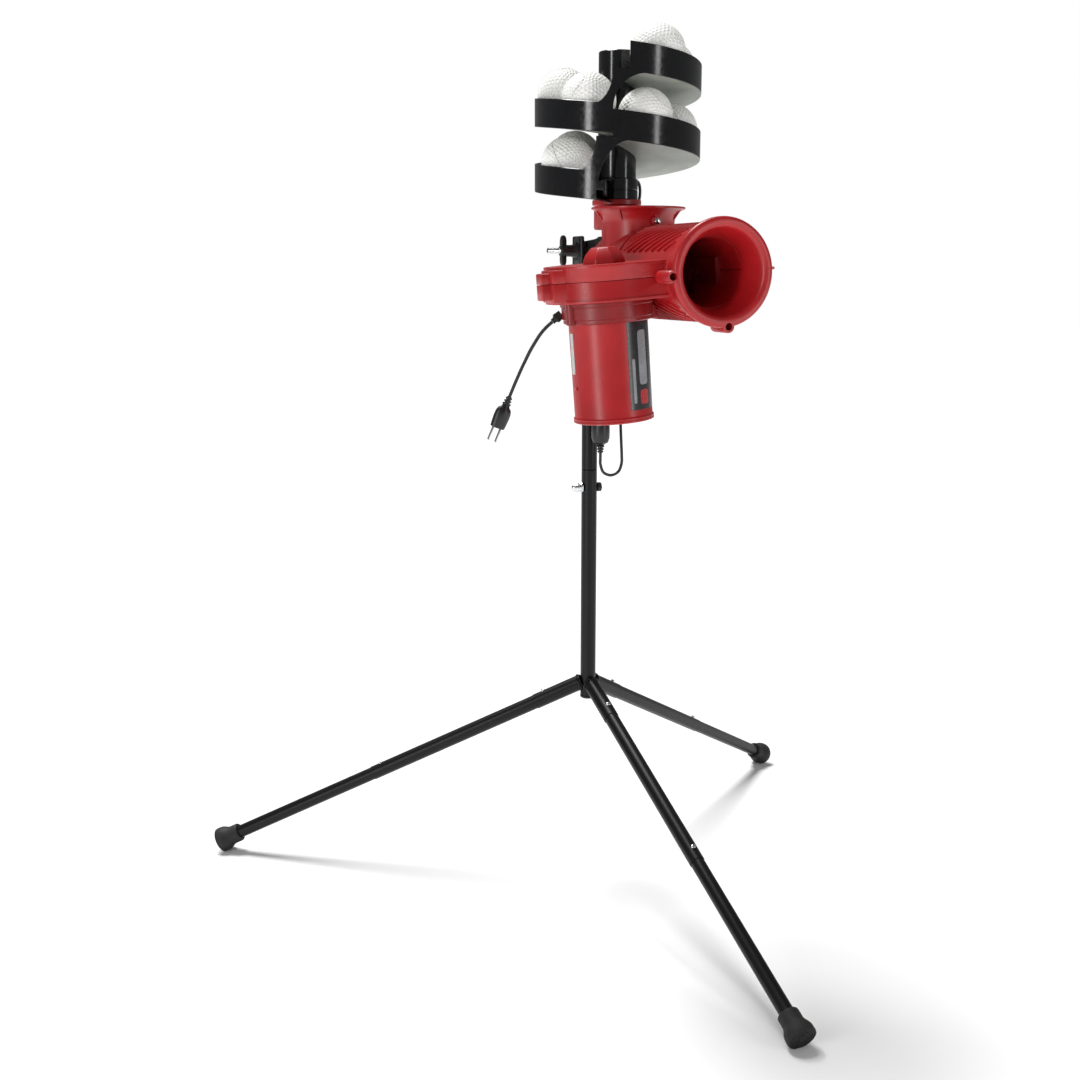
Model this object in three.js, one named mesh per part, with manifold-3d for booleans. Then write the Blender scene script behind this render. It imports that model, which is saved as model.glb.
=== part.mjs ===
// A light ball-pitching machine on a tripod, with a two-tier spiral ball feeder.
// Millimetres, +Z up. The muzzle points along -Y. The origin is on the floor, under the middle of the machine.
import * as THREE from 'three';
import { mergeVertices } from 'three/addons/utils/BufferGeometryUtils.js';
import Module from 'manifold-3d';

const wasm = await Module();
wasm.setup();

// ---------------------------------------------------------------- driving dimensions
const GAP = 0.3;                    // between pieces that touch
const TUBE_R = 11.1;                // 7/8 inch tube
const SIDES = 16;
const ROUND = 28;                   // sides of the large round shells
const BORE_SIDES = 24;
const LEG_SIDES = 14;
const FIN_SIDES = 12;               // pins, holes and small turned pieces
const WELD = 0.004;                 // vertices nearer than this become one

const LEG_SLOPE = 26;               // degrees below level
const LEG_TURN = 4;                 // the tripod stands turned by this under the barrel
const FOOT_R = 18.7;
const FOOT_LENGTH = 35.5;
const FOOT_FLAT = 1.2;              // the worn flat that a foot stands on
const STUB_END = 86.6;
const MID_END = 361.6;
const FOOT_START = 597;
const MID_R = 10.25;
const END_R = 9.5;
const SNAP_R = 3;
const SNAP_BACK = 18;               // from a snap button to the end of the outer tube
const FOOT_END = FOOT_START + FOOT_LENGTH;
const rad = THREE.MathUtils.degToRad;
const HUB_Z = (FOOT_END - 1.5) * Math.sin(rad(LEG_SLOPE)) + FOOT_R * Math.cos(rad(LEG_SLOPE)) - FOOT_FLAT;

const MAST_FOOT_Z = HUB_Z - 24;
const MAST_JOINT_Z = 603;
const MAST_TOP_Z = 886;
const MAST_BOLT_Z = 577;
const TILT_Z = 909;                 // the tilt pin, square to the barrel, over the mast

const BARREL_X = 24.5;              // the barrel's axis, level along Y
const BARREL_Z = 880;
const BARREL_R = 57.5;
const BORE_R = 42;
const CHUTE_Y = -106;
const CHUTE_R = 48;
const FLANGE_R = 62;
const FLANGE_Z = 964;
const SCREW_Z = 945;
const SWIVEL_Y = -164;              // the face where the head turns on the tee
const SPIGOT_R = 50;
const SPIGOT_LENGTH = 18;

const HEAD_ROLL = -4.5;             // degrees about the barrel, as set by hand
const WHEEL_X = -102.5;             // the wheel's axis, from the barrel's
const WHEEL_Y = -240;
const WHEEL_R = 69;
const WHEEL_DROP = -3;
const CASE_R = 72.5;
const CASE_HALF = 22;
const CASE_WALL = 2.6;
const SHELL_FRONT_Y = -320;
const MUZZLE_Y = -357;
const MUZZLE_R = 64.5;
const COLLAR_R = 56;
const COLLAR_LOW = -51;
const MOTOR_R = 48.5;
const MOTOR_LOW = -173;

const FEEDER_Y = -33;
const SLEEVE_R = 26;
const NECK_R = 28.5;
const SHELF_R = 31;                 // the tee's round shelf that the neck stands on
const NECK_LOW = 977;
const NECK_TOP = 1004;
const TIER_R = 112;
const TIER_PITCH = 83;
const TIER_SPAN = 349;              // degrees of one ramp
const TIER_START = [-15, -26];      // degrees from the front, anticlockwise from above
const TIER_TOP_FLOOR = 1131;        // underside of the upper ramp at its start
const RAMP = 78.5 / 360;            // fall for each degree
const WALL_HIGH = 37;
const SKIN = 2.5;
const BALL_R = 36.5;
const BALL_RING = 72;

// ---------------------------------------------------------------- materials
const finish = (color, roughness, metalness) =>
  new THREE.MeshStandardMaterial({ color, roughness, metalness });
const MATERIAL = {
  red: finish(0xb8343a, 0.42, 0),
  darkRed: finish(0xa82a30, 0.4, 0.1),
  gloss: finish(0x17181b, 0.22, 0),
  tube: finish(0x252a27, 0.45, 0.2),
  rubber: finish(0x1a1b1a, 0.75, 0),
  chrome: finish(0xd6d8da, 0.15, 1),
  steel: finish(0x8d9093, 0.35, 1),
  ball: finish(0xf1f1ee, 0.5, 0),
  tyre: finish(0x3a3a3c, 0.8, 0),
};

// ---------------------------------------------------------------- solids
function closed(geometry) {
  const bare = geometry.index ? geometry.clone() : geometry;
  bare.deleteAttribute('normal');
  bare.deleteAttribute('uv');
  const merged = mergeVertices(bare, 1e-4);
  const index = Array.from(merged.index.array);
  const kept = [];
  for (let i = 0; i < index.length; i += 3) {
    const [a, b, c] = [index[i], index[i + 1], index[i + 2]];
    if (a !== b && b !== c && c !== a) kept.push(a, b, c);
  }
  merged.setIndex(kept);
  return merged;
}

function signedVolume(geometry) {
  const p = geometry.attributes.position;
  const index = geometry.index.array;
  const [a, b, c] = [new THREE.Vector3(), new THREE.Vector3(), new THREE.Vector3()];
  let sum = 0;
  for (let i = 0; i < index.length; i += 3) {
    a.fromBufferAttribute(p, index[i]);
    b.fromBufferAttribute(p, index[i + 1]);
    c.fromBufferAttribute(p, index[i + 2]);
    sum += a.dot(b.cross(c));
  }
  return sum;
}

function solid(geometry) {
  const merged = closed(geometry);
  const triVerts = Uint32Array.from(merged.index.array);
  if (signedVolume(merged) < 0) {
    for (let i = 0; i < triVerts.length; i += 3) {
      [triVerts[i], triVerts[i + 1]] = [triVerts[i + 1], triVerts[i]];
    }
  }
  const vertProperties = Float32Array.from(merged.attributes.position.array);
  return new wasm.Manifold(new wasm.Mesh({ numProp: 3, vertProperties, triVerts }));
}

const largest = (body) => body.decompose().sort((a, b) => b.volume() - a.volume())[0];

function geometryOf(manifold) {
  const mesh = manifold.simplify(WELD).getMesh();
  const geometry = new THREE.BufferGeometry();
  geometry.setAttribute('position', new THREE.BufferAttribute(Float32Array.from(mesh.vertProperties), 3));
  geometry.setIndex(Array.from(mesh.triVerts));
  return geometry;
}

const join = (...solids) => solids.reduce((sum, next) => sum.add(next));
const cut = (body, ...tools) => tools.reduce((left, tool) => left.subtract(tool), body);

// A solid of revolution about Z: the profile's points are [radius, height].
function turned(profile, sides = SIDES, x = 0, y = 0) {
  const points = profile.map(([r, z]) => new THREE.Vector2(r, z));
  const ends = [profile[0], profile[profile.length - 1]];
  if (ends.some(([r]) => r > 0)) points.push(points[0].clone());
  return new THREE.LatheGeometry(points, sides).rotateX(Math.PI / 2).translate(x, y, 0);
}

function rod(r, low, high, sides = SIDES, x = 0, y = 0) {
  return turned([[0, low], [r, low], [r, high], [0, high]], sides, x, y);
}

const alongX = (geometry, y = 0, z = 0) => geometry.rotateY(Math.PI / 2).translate(0, y, z);
// Heights in a profile laid along Y become -Y, so a profile reads from the rear to the muzzle.
const alongY = (geometry, x = 0, z = 0) => geometry.rotateX(Math.PI / 2).translate(x, 0, z);

function block(x, y, z) {
  const mid = ([low, high]) => (low + high) / 2;
  return new THREE.BoxGeometry(x[1] - x[0], y[1] - y[0], z[1] - z[0]).translate(mid(x), mid(y), mid(z));
}

// A solid through a row of matching outlines, closed at both ends.
function loft(sections) {
  const n = sections[0].length;
  const positions = sections.flat().flatMap((p) => [p.x, p.y, p.z]);
  const index = [];
  for (let s = 0; s + 1 < sections.length; s++) {
    for (let i = 0; i < n; i++) {
      const [a, b] = [s * n + i, s * n + ((i + 1) % n)];
      index.push(a, b, b + n, a, b + n, a + n);
    }
  }
  const last = (sections.length - 1) * n;
  for (let i = 1; i + 1 < n; i++) {
    index.push(0, i + 1, i, last, last + i, last + i + 1);
  }
  const geometry = new THREE.BufferGeometry();
  geometry.setAttribute('position', new THREE.Float32BufferAttribute(positions, 3));
  geometry.setIndex(index);
  return geometry;
}

// A round cord through a list of points.
function cord(points, r, sides, steps) {
  const section = new THREE.Shape();
  for (let i = 0; i < sides; i++) {
    const a = (i / sides) * 2 * Math.PI;
    const [x, y] = [r * Math.cos(a), r * Math.sin(a)];
    if (i === 0) section.moveTo(x, y);
    else section.lineTo(x, y);
  }
  const path = new THREE.CatmullRomCurve3(points.map((p) => new THREE.Vector3(...p)));
  return new THREE.ExtrudeGeometry(section, { steps, bevelEnabled: false, extrudePath: path });
}

// ---------------------------------------------------------------- scene graph
const machine = new THREE.Group();
const afloat = new THREE.Group();   // everything, before it is set on the floor's origin
machine.add(afloat);

function piece(name, shape, material, parent = afloat) {
  const geometry = shape instanceof THREE.BufferGeometry ? geometryOf(solid(shape)) : geometryOf(shape);
  const mesh = new THREE.Mesh(geometry, material);
  mesh.name = name;
  parent.add(mesh);
}

// ---------------------------------------------------------------- tripod
const MAST_WALL = 0.8;
const SPIGOT_INTO_LOWER = 60;       // how far the upper mast slides into the lower
const MAST_BOLT_R = 3;
const BOLT_ROOM = 0.4;

function mast() {
  const inner = TUBE_R - MAST_WALL;
  const lower = turned([[inner, MAST_FOOT_Z], [TUBE_R, MAST_FOOT_Z], [TUBE_R, MAST_JOINT_Z], [inner, MAST_JOINT_Z]]);
  const spigot = inner - 0.2;
  const shoulder = MAST_JOINT_Z + GAP;
  const upper = turned([
    [spigot - 1, MAST_JOINT_Z - SPIGOT_INTO_LOWER], [spigot, MAST_JOINT_Z - SPIGOT_INTO_LOWER],
    [spigot, shoulder], [TUBE_R, shoulder],
    [TUBE_R, MAST_TOP_Z], [inner, MAST_TOP_Z], [inner, shoulder + 3], [spigot - 1, shoulder],
  ]);
  const boltHole = solid(alongX(rod(MAST_BOLT_R + BOLT_ROOM, -20, 20, FIN_SIDES), 0, MAST_BOLT_Z));
  piece('mast_lower', cut(solid(lower), boltHole), MATERIAL.tube);
  piece('mast_upper', cut(solid(upper), boltHole), MATERIAL.tube);
  piece('mast_end_plug', turned([
    [0, MAST_FOOT_Z - 4], [TUBE_R, MAST_FOOT_Z - 4], [TUBE_R, MAST_FOOT_Z - GAP], [inner - GAP, MAST_FOOT_Z - GAP],
    [inner - GAP, MAST_FOOT_Z + 10], [0, MAST_FOOT_Z + 10],
  ]), MATERIAL.rubber);
  const head = join(
    solid(alongX(rod(7, TUBE_R + GAP, TUBE_R + 6.5, 6), 0, MAST_BOLT_Z)),
    solid(alongX(rod(MAST_BOLT_R, -18, TUBE_R + 3, FIN_SIDES), 0, MAST_BOLT_Z)),
  );
  piece('mast_bolt', head, MATERIAL.rubber);
  const nut = alongX(turned([
    [3.3, -TUBE_R - GAP], [8.6, -TUBE_R - GAP], [8.6, -TUBE_R - 2], [6.8, -TUBE_R - 2], [6.8, -TUBE_R - 8],
    [5.4, -TUBE_R - 12], [2.6, -TUBE_R - 15.5], [0, -TUBE_R - 16], [0, -19], [3.3, -19],
  ], 12), 0, MAST_BOLT_Z);
  piece('acorn_nut', nut, MATERIAL.chrome);
}

// One leg lies along its own +X, tipped down and turned about the mast.
function leg(number, azimuth) {
  const turn = new THREE.Group();
  turn.position.z = HUB_Z;
  turn.rotation.z = rad(azimuth);
  const slope = new THREE.Group();
  slope.rotation.y = rad(LEG_SLOPE);
  turn.add(slope);
  afloat.add(turn);

  const tube = (r, inner, low, high) =>
    solid(alongX(turned([[inner, low], [r, low], [r, high], [inner, high]], LEG_SIDES)));
  const snapAt = [STUB_END - SNAP_BACK, MID_END - SNAP_BACK];
  const snapHole = snapAt.map((x) => solid(rod(SNAP_R + BOLT_ROOM, 4, 15, 10, x)));
  const mastSpace = solid(rod(TUBE_R + GAP, -80, 80, SIDES).rotateY(rad(-LEG_SLOPE)));
  // the next legs' shares of the weld, from just short of 60 degrees to either side
  const shares = [-1, 1].map((side) => {
    const beyond = block([-60, 60], [-side * GAP / 2, side * 60].sort((a, b) => a - b), [-60, 60]);
    return solid(beyond.rotateZ(side * rad(60)).rotateY(rad(-LEG_SLOPE)));
  });
  const stub = cut(tube(TUBE_R, TUBE_R - 0.65, 0.5, STUB_END), mastSpace, snapHole[0], ...shares);
  piece(`leg_stub_${number}`, largest(stub), MATERIAL.tube, slope);
  const mid = cut(tube(MID_R, MID_R - 0.55, 46, MID_END), ...snapHole);
  piece(`leg_mid_${number}`, mid, MATERIAL.tube, slope);
  const end = cut(tube(END_R, END_R - 0.8, MID_END - 40, FOOT_END - 6), snapHole[1]);
  piece(`leg_end_${number}`, end, MATERIAL.tube, slope);

  snapAt.forEach((x, i) => {
    const skin = i === 0 ? TUBE_R : MID_R;
    const button = turned([
      [0, skin - 6], [SNAP_R, skin - 6], [SNAP_R, skin + 1.4], [SNAP_R * 0.7, skin + 2.6], [0, skin + 3],
    ], 10, x);
    piece(`snap_button_${2 * number - 1 + i}`, button, MATERIAL.chrome, slope);
  });

  const tip = alongX(turned([
    [END_R + 0.2, FOOT_START], [13.2, FOOT_START], [13.8, FOOT_START + 3], [13.8, FOOT_START + 14],
    [17.4, FOOT_START + 22], [FOOT_R, FOOT_START + 27], [FOOT_R, FOOT_END - 1.5], [FOOT_R - 1.5, FOOT_END],
    [0, FOOT_END], [0, FOOT_END - 5.6], [END_R + 0.2, FOOT_END - 5.6],
  ], LEG_SIDES));
  const below = block([FOOT_START - 60, FOOT_END + 60], [-60, 60], [-60, 0]);
  below.translate(-FOOT_END, 0, 0).rotateY(rad(-LEG_SLOPE)).translate(FOOT_END, 0, 0);
  const drop = HUB_Z - FOOT_END * Math.sin(rad(LEG_SLOPE));
  below.translate(drop * Math.sin(rad(LEG_SLOPE)), 0, -drop * Math.cos(rad(LEG_SLOPE)));
  piece(`foot_${number}`, cut(solid(tip), solid(below)), MATERIAL.rubber, slope);
}

// ---------------------------------------------------------------- clamp on the mast, with its tilt pin
const CHEEK = [9.6, 15.6];
const SOCKET_AT = [0, -33];         // the lead's socket hangs here, in front of the mast
const SOCKET_LOW = 676;
const CLAMP_SLEEVE = [843, 892];    // the clamp's sleeve round the mast
const CLAMP_BASE = [884, 893];
const CHEEK_LOW = 888;
const LUG_NECK_Y = -40;             // the notch reaches past the clamp's front
const CHEEK_R = 14;
const PIN_ROOM_R = 4.4;
const TILT_FORWARD = 15;            // as far as the tee tips forward, in degrees
const LUG_TAPER = 2.9;              // the slope of the lug's lower edge beside the pin, in degrees
const LUG_ROOM_R = 14;

function clamp() {
  const sleeve = rod(16, ...CLAMP_SLEEVE);
  const mastRoom = solid(rod(TUBE_R + GAP, CLAMP_SLEEVE[0] - 1, MAST_TOP_Z + GAP));
  const cheeks = [-1, 1].map((side) => {
    const x = [side * CHEEK[0], side * CHEEK[1]].sort((a, b) => a - b);
    const tab = solid(block(x, [-CHEEK_R, CHEEK_R], [CHEEK_LOW, TILT_Z]));
    return tab.add(solid(alongX(rod(CHEEK_R, x[0], x[1], BORE_SIDES), 0, TILT_Z)));
  });
  const base = solid(block([-CHEEK[1], CHEEK[1]], [-CHEEK_R, CHEEK_R], CLAMP_BASE));
  const pinHole = solid(alongX(rod(PIN_ROOM_R, -30, 30, FIN_SIDES), 0, TILT_Z));
  const strap = solid(block([-8, 8], [-19.5, -15], [SOCKET_LOW + 20, 880]));
  // the lug swings down into this notch when the tee tips forward
  const notch = block([-CHEEK[0], CHEEK[0]], [LUG_NECK_Y, 0], [-LUG_ROOM_R, 0]);
  notch.rotateX(rad(TILT_FORWARD + LUG_TAPER)).translate(0, 0, TILT_Z);
  const clampBody = join(solid(sleeve), base, ...cheeks, strap);
  piece('clamp_block', cut(clampBody, mastRoom, pinHole, solid(notch)), MATERIAL.gloss);

  const [x, y] = SOCKET_AT;
  const box = block([x - 13, x + 13], [y - 11, y + 13], [SOCKET_LOW, SOCKET_LOW + 42]);
  piece('lead_socket', box, MATERIAL.rubber);
}

function wingKnob() {
  const stud = solid(alongX(rod(4, -64, 20, FIN_SIDES), 0, TILT_Z));
  const boss = solid(alongX(turned([
    [0, -46], [7, -46], [8, -38], [8, -30], [11, -20], [11, -16.2], [0, -16.2],
  ], FIN_SIDES), 0, TILT_Z));
  const wing = new THREE.Shape();
  wing.moveTo(-5, -20);
  wing.lineTo(5, -20);
  wing.quadraticCurveTo(6, 0, 5, 20);
  wing.lineTo(-5, 20);
  wing.quadraticCurveTo(-6, 0, -5, -20);
  const wings = new THREE.ExtrudeGeometry(wing, { depth: 9, bevelEnabled: false, curveSegments: 4 });
  wings.translate(-46, 0, -4.5).rotateX(Math.PI / 2).translate(0, 0, TILT_Z);
  piece('wing_knob', join(stud, boss, solid(wings)), MATERIAL.rubber);
}

// ---------------------------------------------------------------- tee that takes a ball from the feeder
function feedTee() {
  const rear = -54;
  const outer = join(
    solid(alongY(turned([
      [0, -rear], [38, -rear], [50, -rear + 5], [BARREL_R, -rear + 14], [BARREL_R, -SWIVEL_Y], [0, -SWIVEL_Y],
    ], ROUND), BARREL_X, BARREL_Z)),
    solid(turned([
      [0, BARREL_Z], [CHUTE_R, BARREL_Z], [CHUTE_R, 951], [FLANGE_R, FLANGE_Z - 2.5], [FLANGE_R, FLANGE_Z], [0, FLANGE_Z],
    ], ROUND, BARREL_X, CHUTE_Y)),
    solid(rod(SHELF_R, 937, NECK_LOW - GAP, BORE_SIDES, BARREL_X, FEEDER_Y)),
    solid(block([BARREL_X - 22, BARREL_X + 22], [CHUTE_Y, FEEDER_Y], [925, 958])),
    solid(alongY(rod(SPIGOT_R, -SWIVEL_Y - 10, -SWIVEL_Y + SPIGOT_LENGTH, ROUND), BARREL_X, BARREL_Z)),
    solid(alongY(rod(6, 146, 160, 14), BARREL_X + 3, SCREW_Z)),
  );
  const neckRoom = solid(rod(24, 952, NECK_LOW + 1, 24, BARREL_X, FEEDER_Y));
  const bore = solid(alongY(rod(BORE_R, -rear + 10, -SWIVEL_Y + SPIGOT_LENGTH + 1, BORE_SIDES), BARREL_X, BARREL_Z));
  const chuteBore = solid(rod(CHUTE_R - 3.5, BARREL_Z, FLANGE_Z + 1, BORE_SIDES, BARREL_X, CHUTE_Y));
  const screwHole = solid(alongY(rod(2.4, 152, 161, 10), BARREL_X + 3, SCREW_Z));
  const lugRoom = solid(block([-9.5, 9.5], [-58, -20], [882, 931]));
  piece('feed_tee', cut(outer, bore, chuteBore, neckRoom, screwHole, lugRoom), MATERIAL.red);
  piece('chute_screw', alongY(turned([
    [0, 152.4], [2, 152.4], [2, 160.3], [4.2, 160.3], [4.2, 162], [2.4, 163.4], [0, 163.6],
  ], 12), BARREL_X + 3, SCREW_Z), MATERIAL.chrome);
}

// The steel lug bolted to the tee's rear wall, between the clamp's cheeks.
function tiltLug() {
  const outline = new THREE.Shape();
  outline.moveTo(-57.7, -22);
  outline.lineTo(-30, -15);
  outline.lineTo(0, -13.5);
  outline.absarc(0, 0, 13.5, -Math.PI / 2, Math.PI / 2, false);
  outline.lineTo(-30, 15);
  outline.lineTo(-57.7, 18);
  const depth = 2 * (CHEEK[0] - GAP);
  const plate = new THREE.ExtrudeGeometry(outline, { depth, bevelEnabled: false, curveSegments: 14 });
  // the outline's x is the machine's Y, and its y is Z
  plate.applyMatrix4(new THREE.Matrix4().makeBasis(
    new THREE.Vector3(0, 1, 0), new THREE.Vector3(0, 0, 1), new THREE.Vector3(1, 0, 0),
  )).translate(-depth / 2, 0, TILT_Z);
  const pinHole = solid(alongX(rod(PIN_ROOM_R, -30, 30, FIN_SIDES), 0, TILT_Z));
  piece('tilt_lug', cut(solid(plate), pinHole), MATERIAL.gloss);
}

// ---------------------------------------------------------------- spiral feeder
// A point on the feeder, at an angle anticlockwise from the front.
function around(r, degrees, z) {
  const a = rad(degrees);
  return new THREE.Vector3(BARREL_X + r * Math.sin(a), FEEDER_Y - r * Math.cos(a), z);
}

// A solid swept round the feeder; outline gives its [radius, height] corners at each angle.
function sweep(angles, outline) {
  return solid(loft(angles.map((a) => outline(a).map(([r, z]) => around(r, a, z)))));
}

// Even steps from one angle to another.
function steps(from, to, step) {
  const count = Math.ceil((to - from) / step);
  return Array.from({ length: count + 1 }, (_, i) => from + ((to - from) * i) / count);
}

const tierFloor = (tier, a) => TIER_TOP_FLOOR - tier * TIER_PITCH - RAMP * (a - TIER_START[tier]);
const sleeveTop = (tier) => NECK_TOP + GAP + (2 - tier) * TIER_PITCH;

const TRAY_STEP = 14;               // degrees between a ramp's sections
const WEB_STEP = 4;
const WEB_IN = 108.2;               // the web's skin is set into the wall's, with no face in common
const WEB_OUT = 110.9;
const WEB_ROOT = 4.5;               // how deep the web's rounded corner starts in the end wall
const WEB_TUCK = 0.8;               // how far the web's foot runs into the floor
const WEB_BEFORE = 25;              // degrees of web before a ramp's start, and after it
const WEB_AFTER = 12;
const WEB_DROP = [6, 35];           // how far each web reaches below the end wall's top
const SLEEVE_WALL = 3.5;
const SLEEVE_ROOT = 1.5;            // how far a floor runs into its sleeve
const SLEEVE_LID = 4;               // the upper sleeve is closed by a lid

function spiralTier(tier) {
  const start = TIER_START[tier];
  const end = start + TIER_SPAN;
  const floor = (a) => tierFloor(tier, a);
  const low = sleeveTop(tier) - TIER_PITCH + GAP;
  const high = sleeveTop(tier) - (tier ? 0 : GAP);
  const hollowTop = tier ? high + 1 : high + GAP - SLEEVE_LID;
  const sleeve = cut(
    solid(rod(SLEEVE_R, low, high, BORE_SIDES, BARREL_X, FEEDER_Y)),
    solid(rod(SLEEVE_R - SLEEVE_WALL, low - 1, hollowTop, 18, BARREL_X, FEEDER_Y)),
  );
  // floor and outer wall in one, from their inner corner round
  const tray = sweep(steps(start, end, TRAY_STEP), (a) => [
    [TIER_R - SKIN, floor(a) + SKIN], [SLEEVE_R - SLEEVE_ROOT, floor(a) + SKIN], [SLEEVE_R - SLEEVE_ROOT, floor(a)],
    [TIER_R, floor(a)], [TIER_R, floor(a) + WALL_HIGH], [TIER_R - SKIN, floor(a) + WALL_HIGH],
  ]);
  // the web in front joins the ramp's start to its end, with round corners to the windows beside it
  const endTop = (a) => floor(a + 360) + WALL_HIGH;
  const seam = end - 360;
  const [left, right] = [start - WEB_BEFORE, start + WEB_AFTER];
  const webTop = floor(start) + 2;
  // the upper web stops over the start of the ramp below
  const webLow = endTop(seam) - WEB_DROP[tier];
  const bottom = (a) => {
    if (a < seam) return endTop(a) - WEB_ROOT;
    const t = (a - seam) / (right - seam);
    return webLow + (floor(right) + WEB_TUCK - webLow) * Math.sqrt(1 - (1 - t) ** 2);
  };
  const top = (a) => {
    if (a >= seam) return a < start ? webTop : floor(a) + SKIN - WEB_TUCK / 2;
    const t = (a - left) / (seam - left);
    return endTop(seam) + (webTop - endTop(seam)) * (1 - Math.sqrt(1 - t * t));
  };
  const webAngles = [...steps(left, seam - 0.5, WEB_STEP), ...steps(seam, right, WEB_STEP)];
  const web = sweep(webAngles, (a) => [
    [WEB_IN, bottom(a)], [WEB_OUT, bottom(a)], [WEB_OUT, top(a)], [WEB_IN, top(a)],
  ]);
  // room for the sleeve, or the shelf, that this one stands on
  const below = (tier ? SHELF_R : SLEEVE_R) + GAP;
  const neighbour = solid(rod(below, low - TIER_PITCH, low - GAP / 2, ROUND, BARREL_X, FEEDER_Y));
  const whole = cut(join(sleeve, tray, web), neighbour);
  piece(`feeder_tier_${tier + 1}`, largest(whole), MATERIAL.gloss);
}

// The angles at which balls wait on each ramp.
const BALLS = [[23, 84, 245, 305], [7, 69, 211, 272]];

function balls() {
  let number = 1;
  BALLS.forEach((angles, tier) => angles.forEach((a) => {
    const centre = around(BALL_RING, a, 0);
    // the ramp falls under the ball, so it rests a little above a level floor's height
    centre.z = tierFloor(tier, a) + SKIN + BALL_R / Math.cos(Math.atan(RAMP * 180 / Math.PI / BALL_RING)) + GAP;
    const ball = new THREE.SphereGeometry(BALL_R, 12, 7).translate(centre.x, centre.y, centre.z);
    piece(`ball_${number++}`, ball, MATERIAL.ball);
  }));
}

const GATE_ANGLE = 308;             // the gate arm holds the lowest ball here
const GATE_PIN_R = 36;
const GATE_HEIGHT = 16;             // the arm's middle over the ramp
const GATE_FOOT = 2.2;              // the hub's foot over the ramp at its axis
const GATE_Z = tierFloor(1, GATE_ANGLE) + SKIN + GATE_HEIGHT;

function neckAndGate() {
  const neck = cut(solid(rod(NECK_R, NECK_LOW, NECK_TOP, BORE_SIDES, BARREL_X, FEEDER_Y)),
    solid(rod(22, NECK_LOW - 1, NECK_TOP + 1, 24, BARREL_X, FEEDER_Y)));
  piece('feeder_neck', neck, MATERIAL.gloss);
  piece('feeder_motor', rod(18, 958, 1048, 20, BARREL_X, FEEDER_Y), MATERIAL.steel);

  const pin = around(GATE_PIN_R, GATE_ANGLE, 0);
  const hub = rod(5, GATE_Z - GATE_HEIGHT + GATE_FOOT, GATE_Z + 8, FIN_SIDES, pin.x, pin.y);
  const arm = block([-2, 2], [0, 64], [GATE_Z - 6, GATE_Z + 6]);
  arm.rotateZ(rad(GATE_ANGLE) + Math.PI).translate(pin.x, pin.y, 0);
  piece('gate_arm', join(solid(hub), solid(arm)), MATERIAL.gloss);
}

// ---------------------------------------------------------------- turning head
const head = new THREE.Group();
head.position.set(BARREL_X, 0, BARREL_Z);
head.rotation.y = rad(HEAD_ROLL);
afloat.add(head);
const CASE_MID = WHEEL_DROP;

function casing(r, half, front, halfBarrel) {
  const disc = solid(rod(r, CASE_MID - half, CASE_MID + half, ROUND, WHEEL_X, WHEEL_Y));
  return disc.add(solid(block([WHEEL_X, halfBarrel], [front, WHEEL_Y + 20], [CASE_MID - half, CASE_MID + half])));
}

function headShells() {
  const start = SWIVEL_Y - GAP;
  const tube = solid(alongY(rod(BARREL_R, -start, -SHELL_FRONT_Y, ROUND)));
  const fins = [[8, 34, 18, 19], [18, 22, 10, 16]].map(([out, wide, back, half]) => {
    const x = WHEEL_X - CASE_R;
    return solid(block([x - out, x + 12], [WHEEL_Y - wide, WHEEL_Y + back - 12], [CASE_MID - half, CASE_MID + half]));
  });
  const dome = solid(turned([
    [0, CASE_MID + CASE_HALF - 1], [27, CASE_MID + CASE_HALF - 1], [26, CASE_MID + CASE_HALF + 5],
    [16, CASE_MID + CASE_HALF + 20], [0, CASE_MID + CASE_HALF + 20],
  ], 8, WHEEL_X, WHEEL_Y));
  const outer = join(tube, casing(CASE_R, CASE_HALF, WHEEL_Y - CASE_R, -20), ...fins, dome);

  const spigotRoom = solid(alongY(rod(SPIGOT_R + 0.6, -start - 1, -start + SPIGOT_LENGTH + 0.6, ROUND)));
  const bore = solid(alongY(rod(BORE_R, -start - 1, -SHELL_FRONT_Y + 1, BORE_SIDES)));
  const wheelRoom = casing(CASE_R - CASE_WALL, CASE_HALF - CASE_WALL, WHEEL_Y - 34, -20);
  const shaftRoom = solid(rod(5.2, MOTOR_LOW, CASE_MID + CASE_HALF + 14, FIN_SIDES, WHEEL_X, WHEEL_Y));
  const padRoom = solid(block([BORE_R - 8, BORE_R + 4.6], [WHEEL_Y - 24, WHEEL_Y + 24], [-16, 16]));
  const whole = cut(outer, spigotRoom, bore, wheelRoom, shaftRoom, padRoom);
  const above = solid(block([-250, 250], [-400, 0], [GAP / 2, 200]));
  const below = solid(block([-250, 250], [-400, 0], [-200, -GAP / 2]));
  piece('head_shell_upper', largest(whole.intersect(above)), MATERIAL.red, head);
  piece('head_shell_lower', largest(whole.intersect(below)), MATERIAL.red, head);
  const pad = block([BORE_R - 6.5, BORE_R + 4.3], [WHEEL_Y - 23.7, WHEEL_Y + 23.7], [-15.7, 15.7]);
  piece('squeeze_pad', pad, MATERIAL.tyre, head);
}

const BOSS_R = 7.5;
const BOSSES = [[-MUZZLE_R - 1, 0], [3, -MUZZLE_R + 1]];

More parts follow.
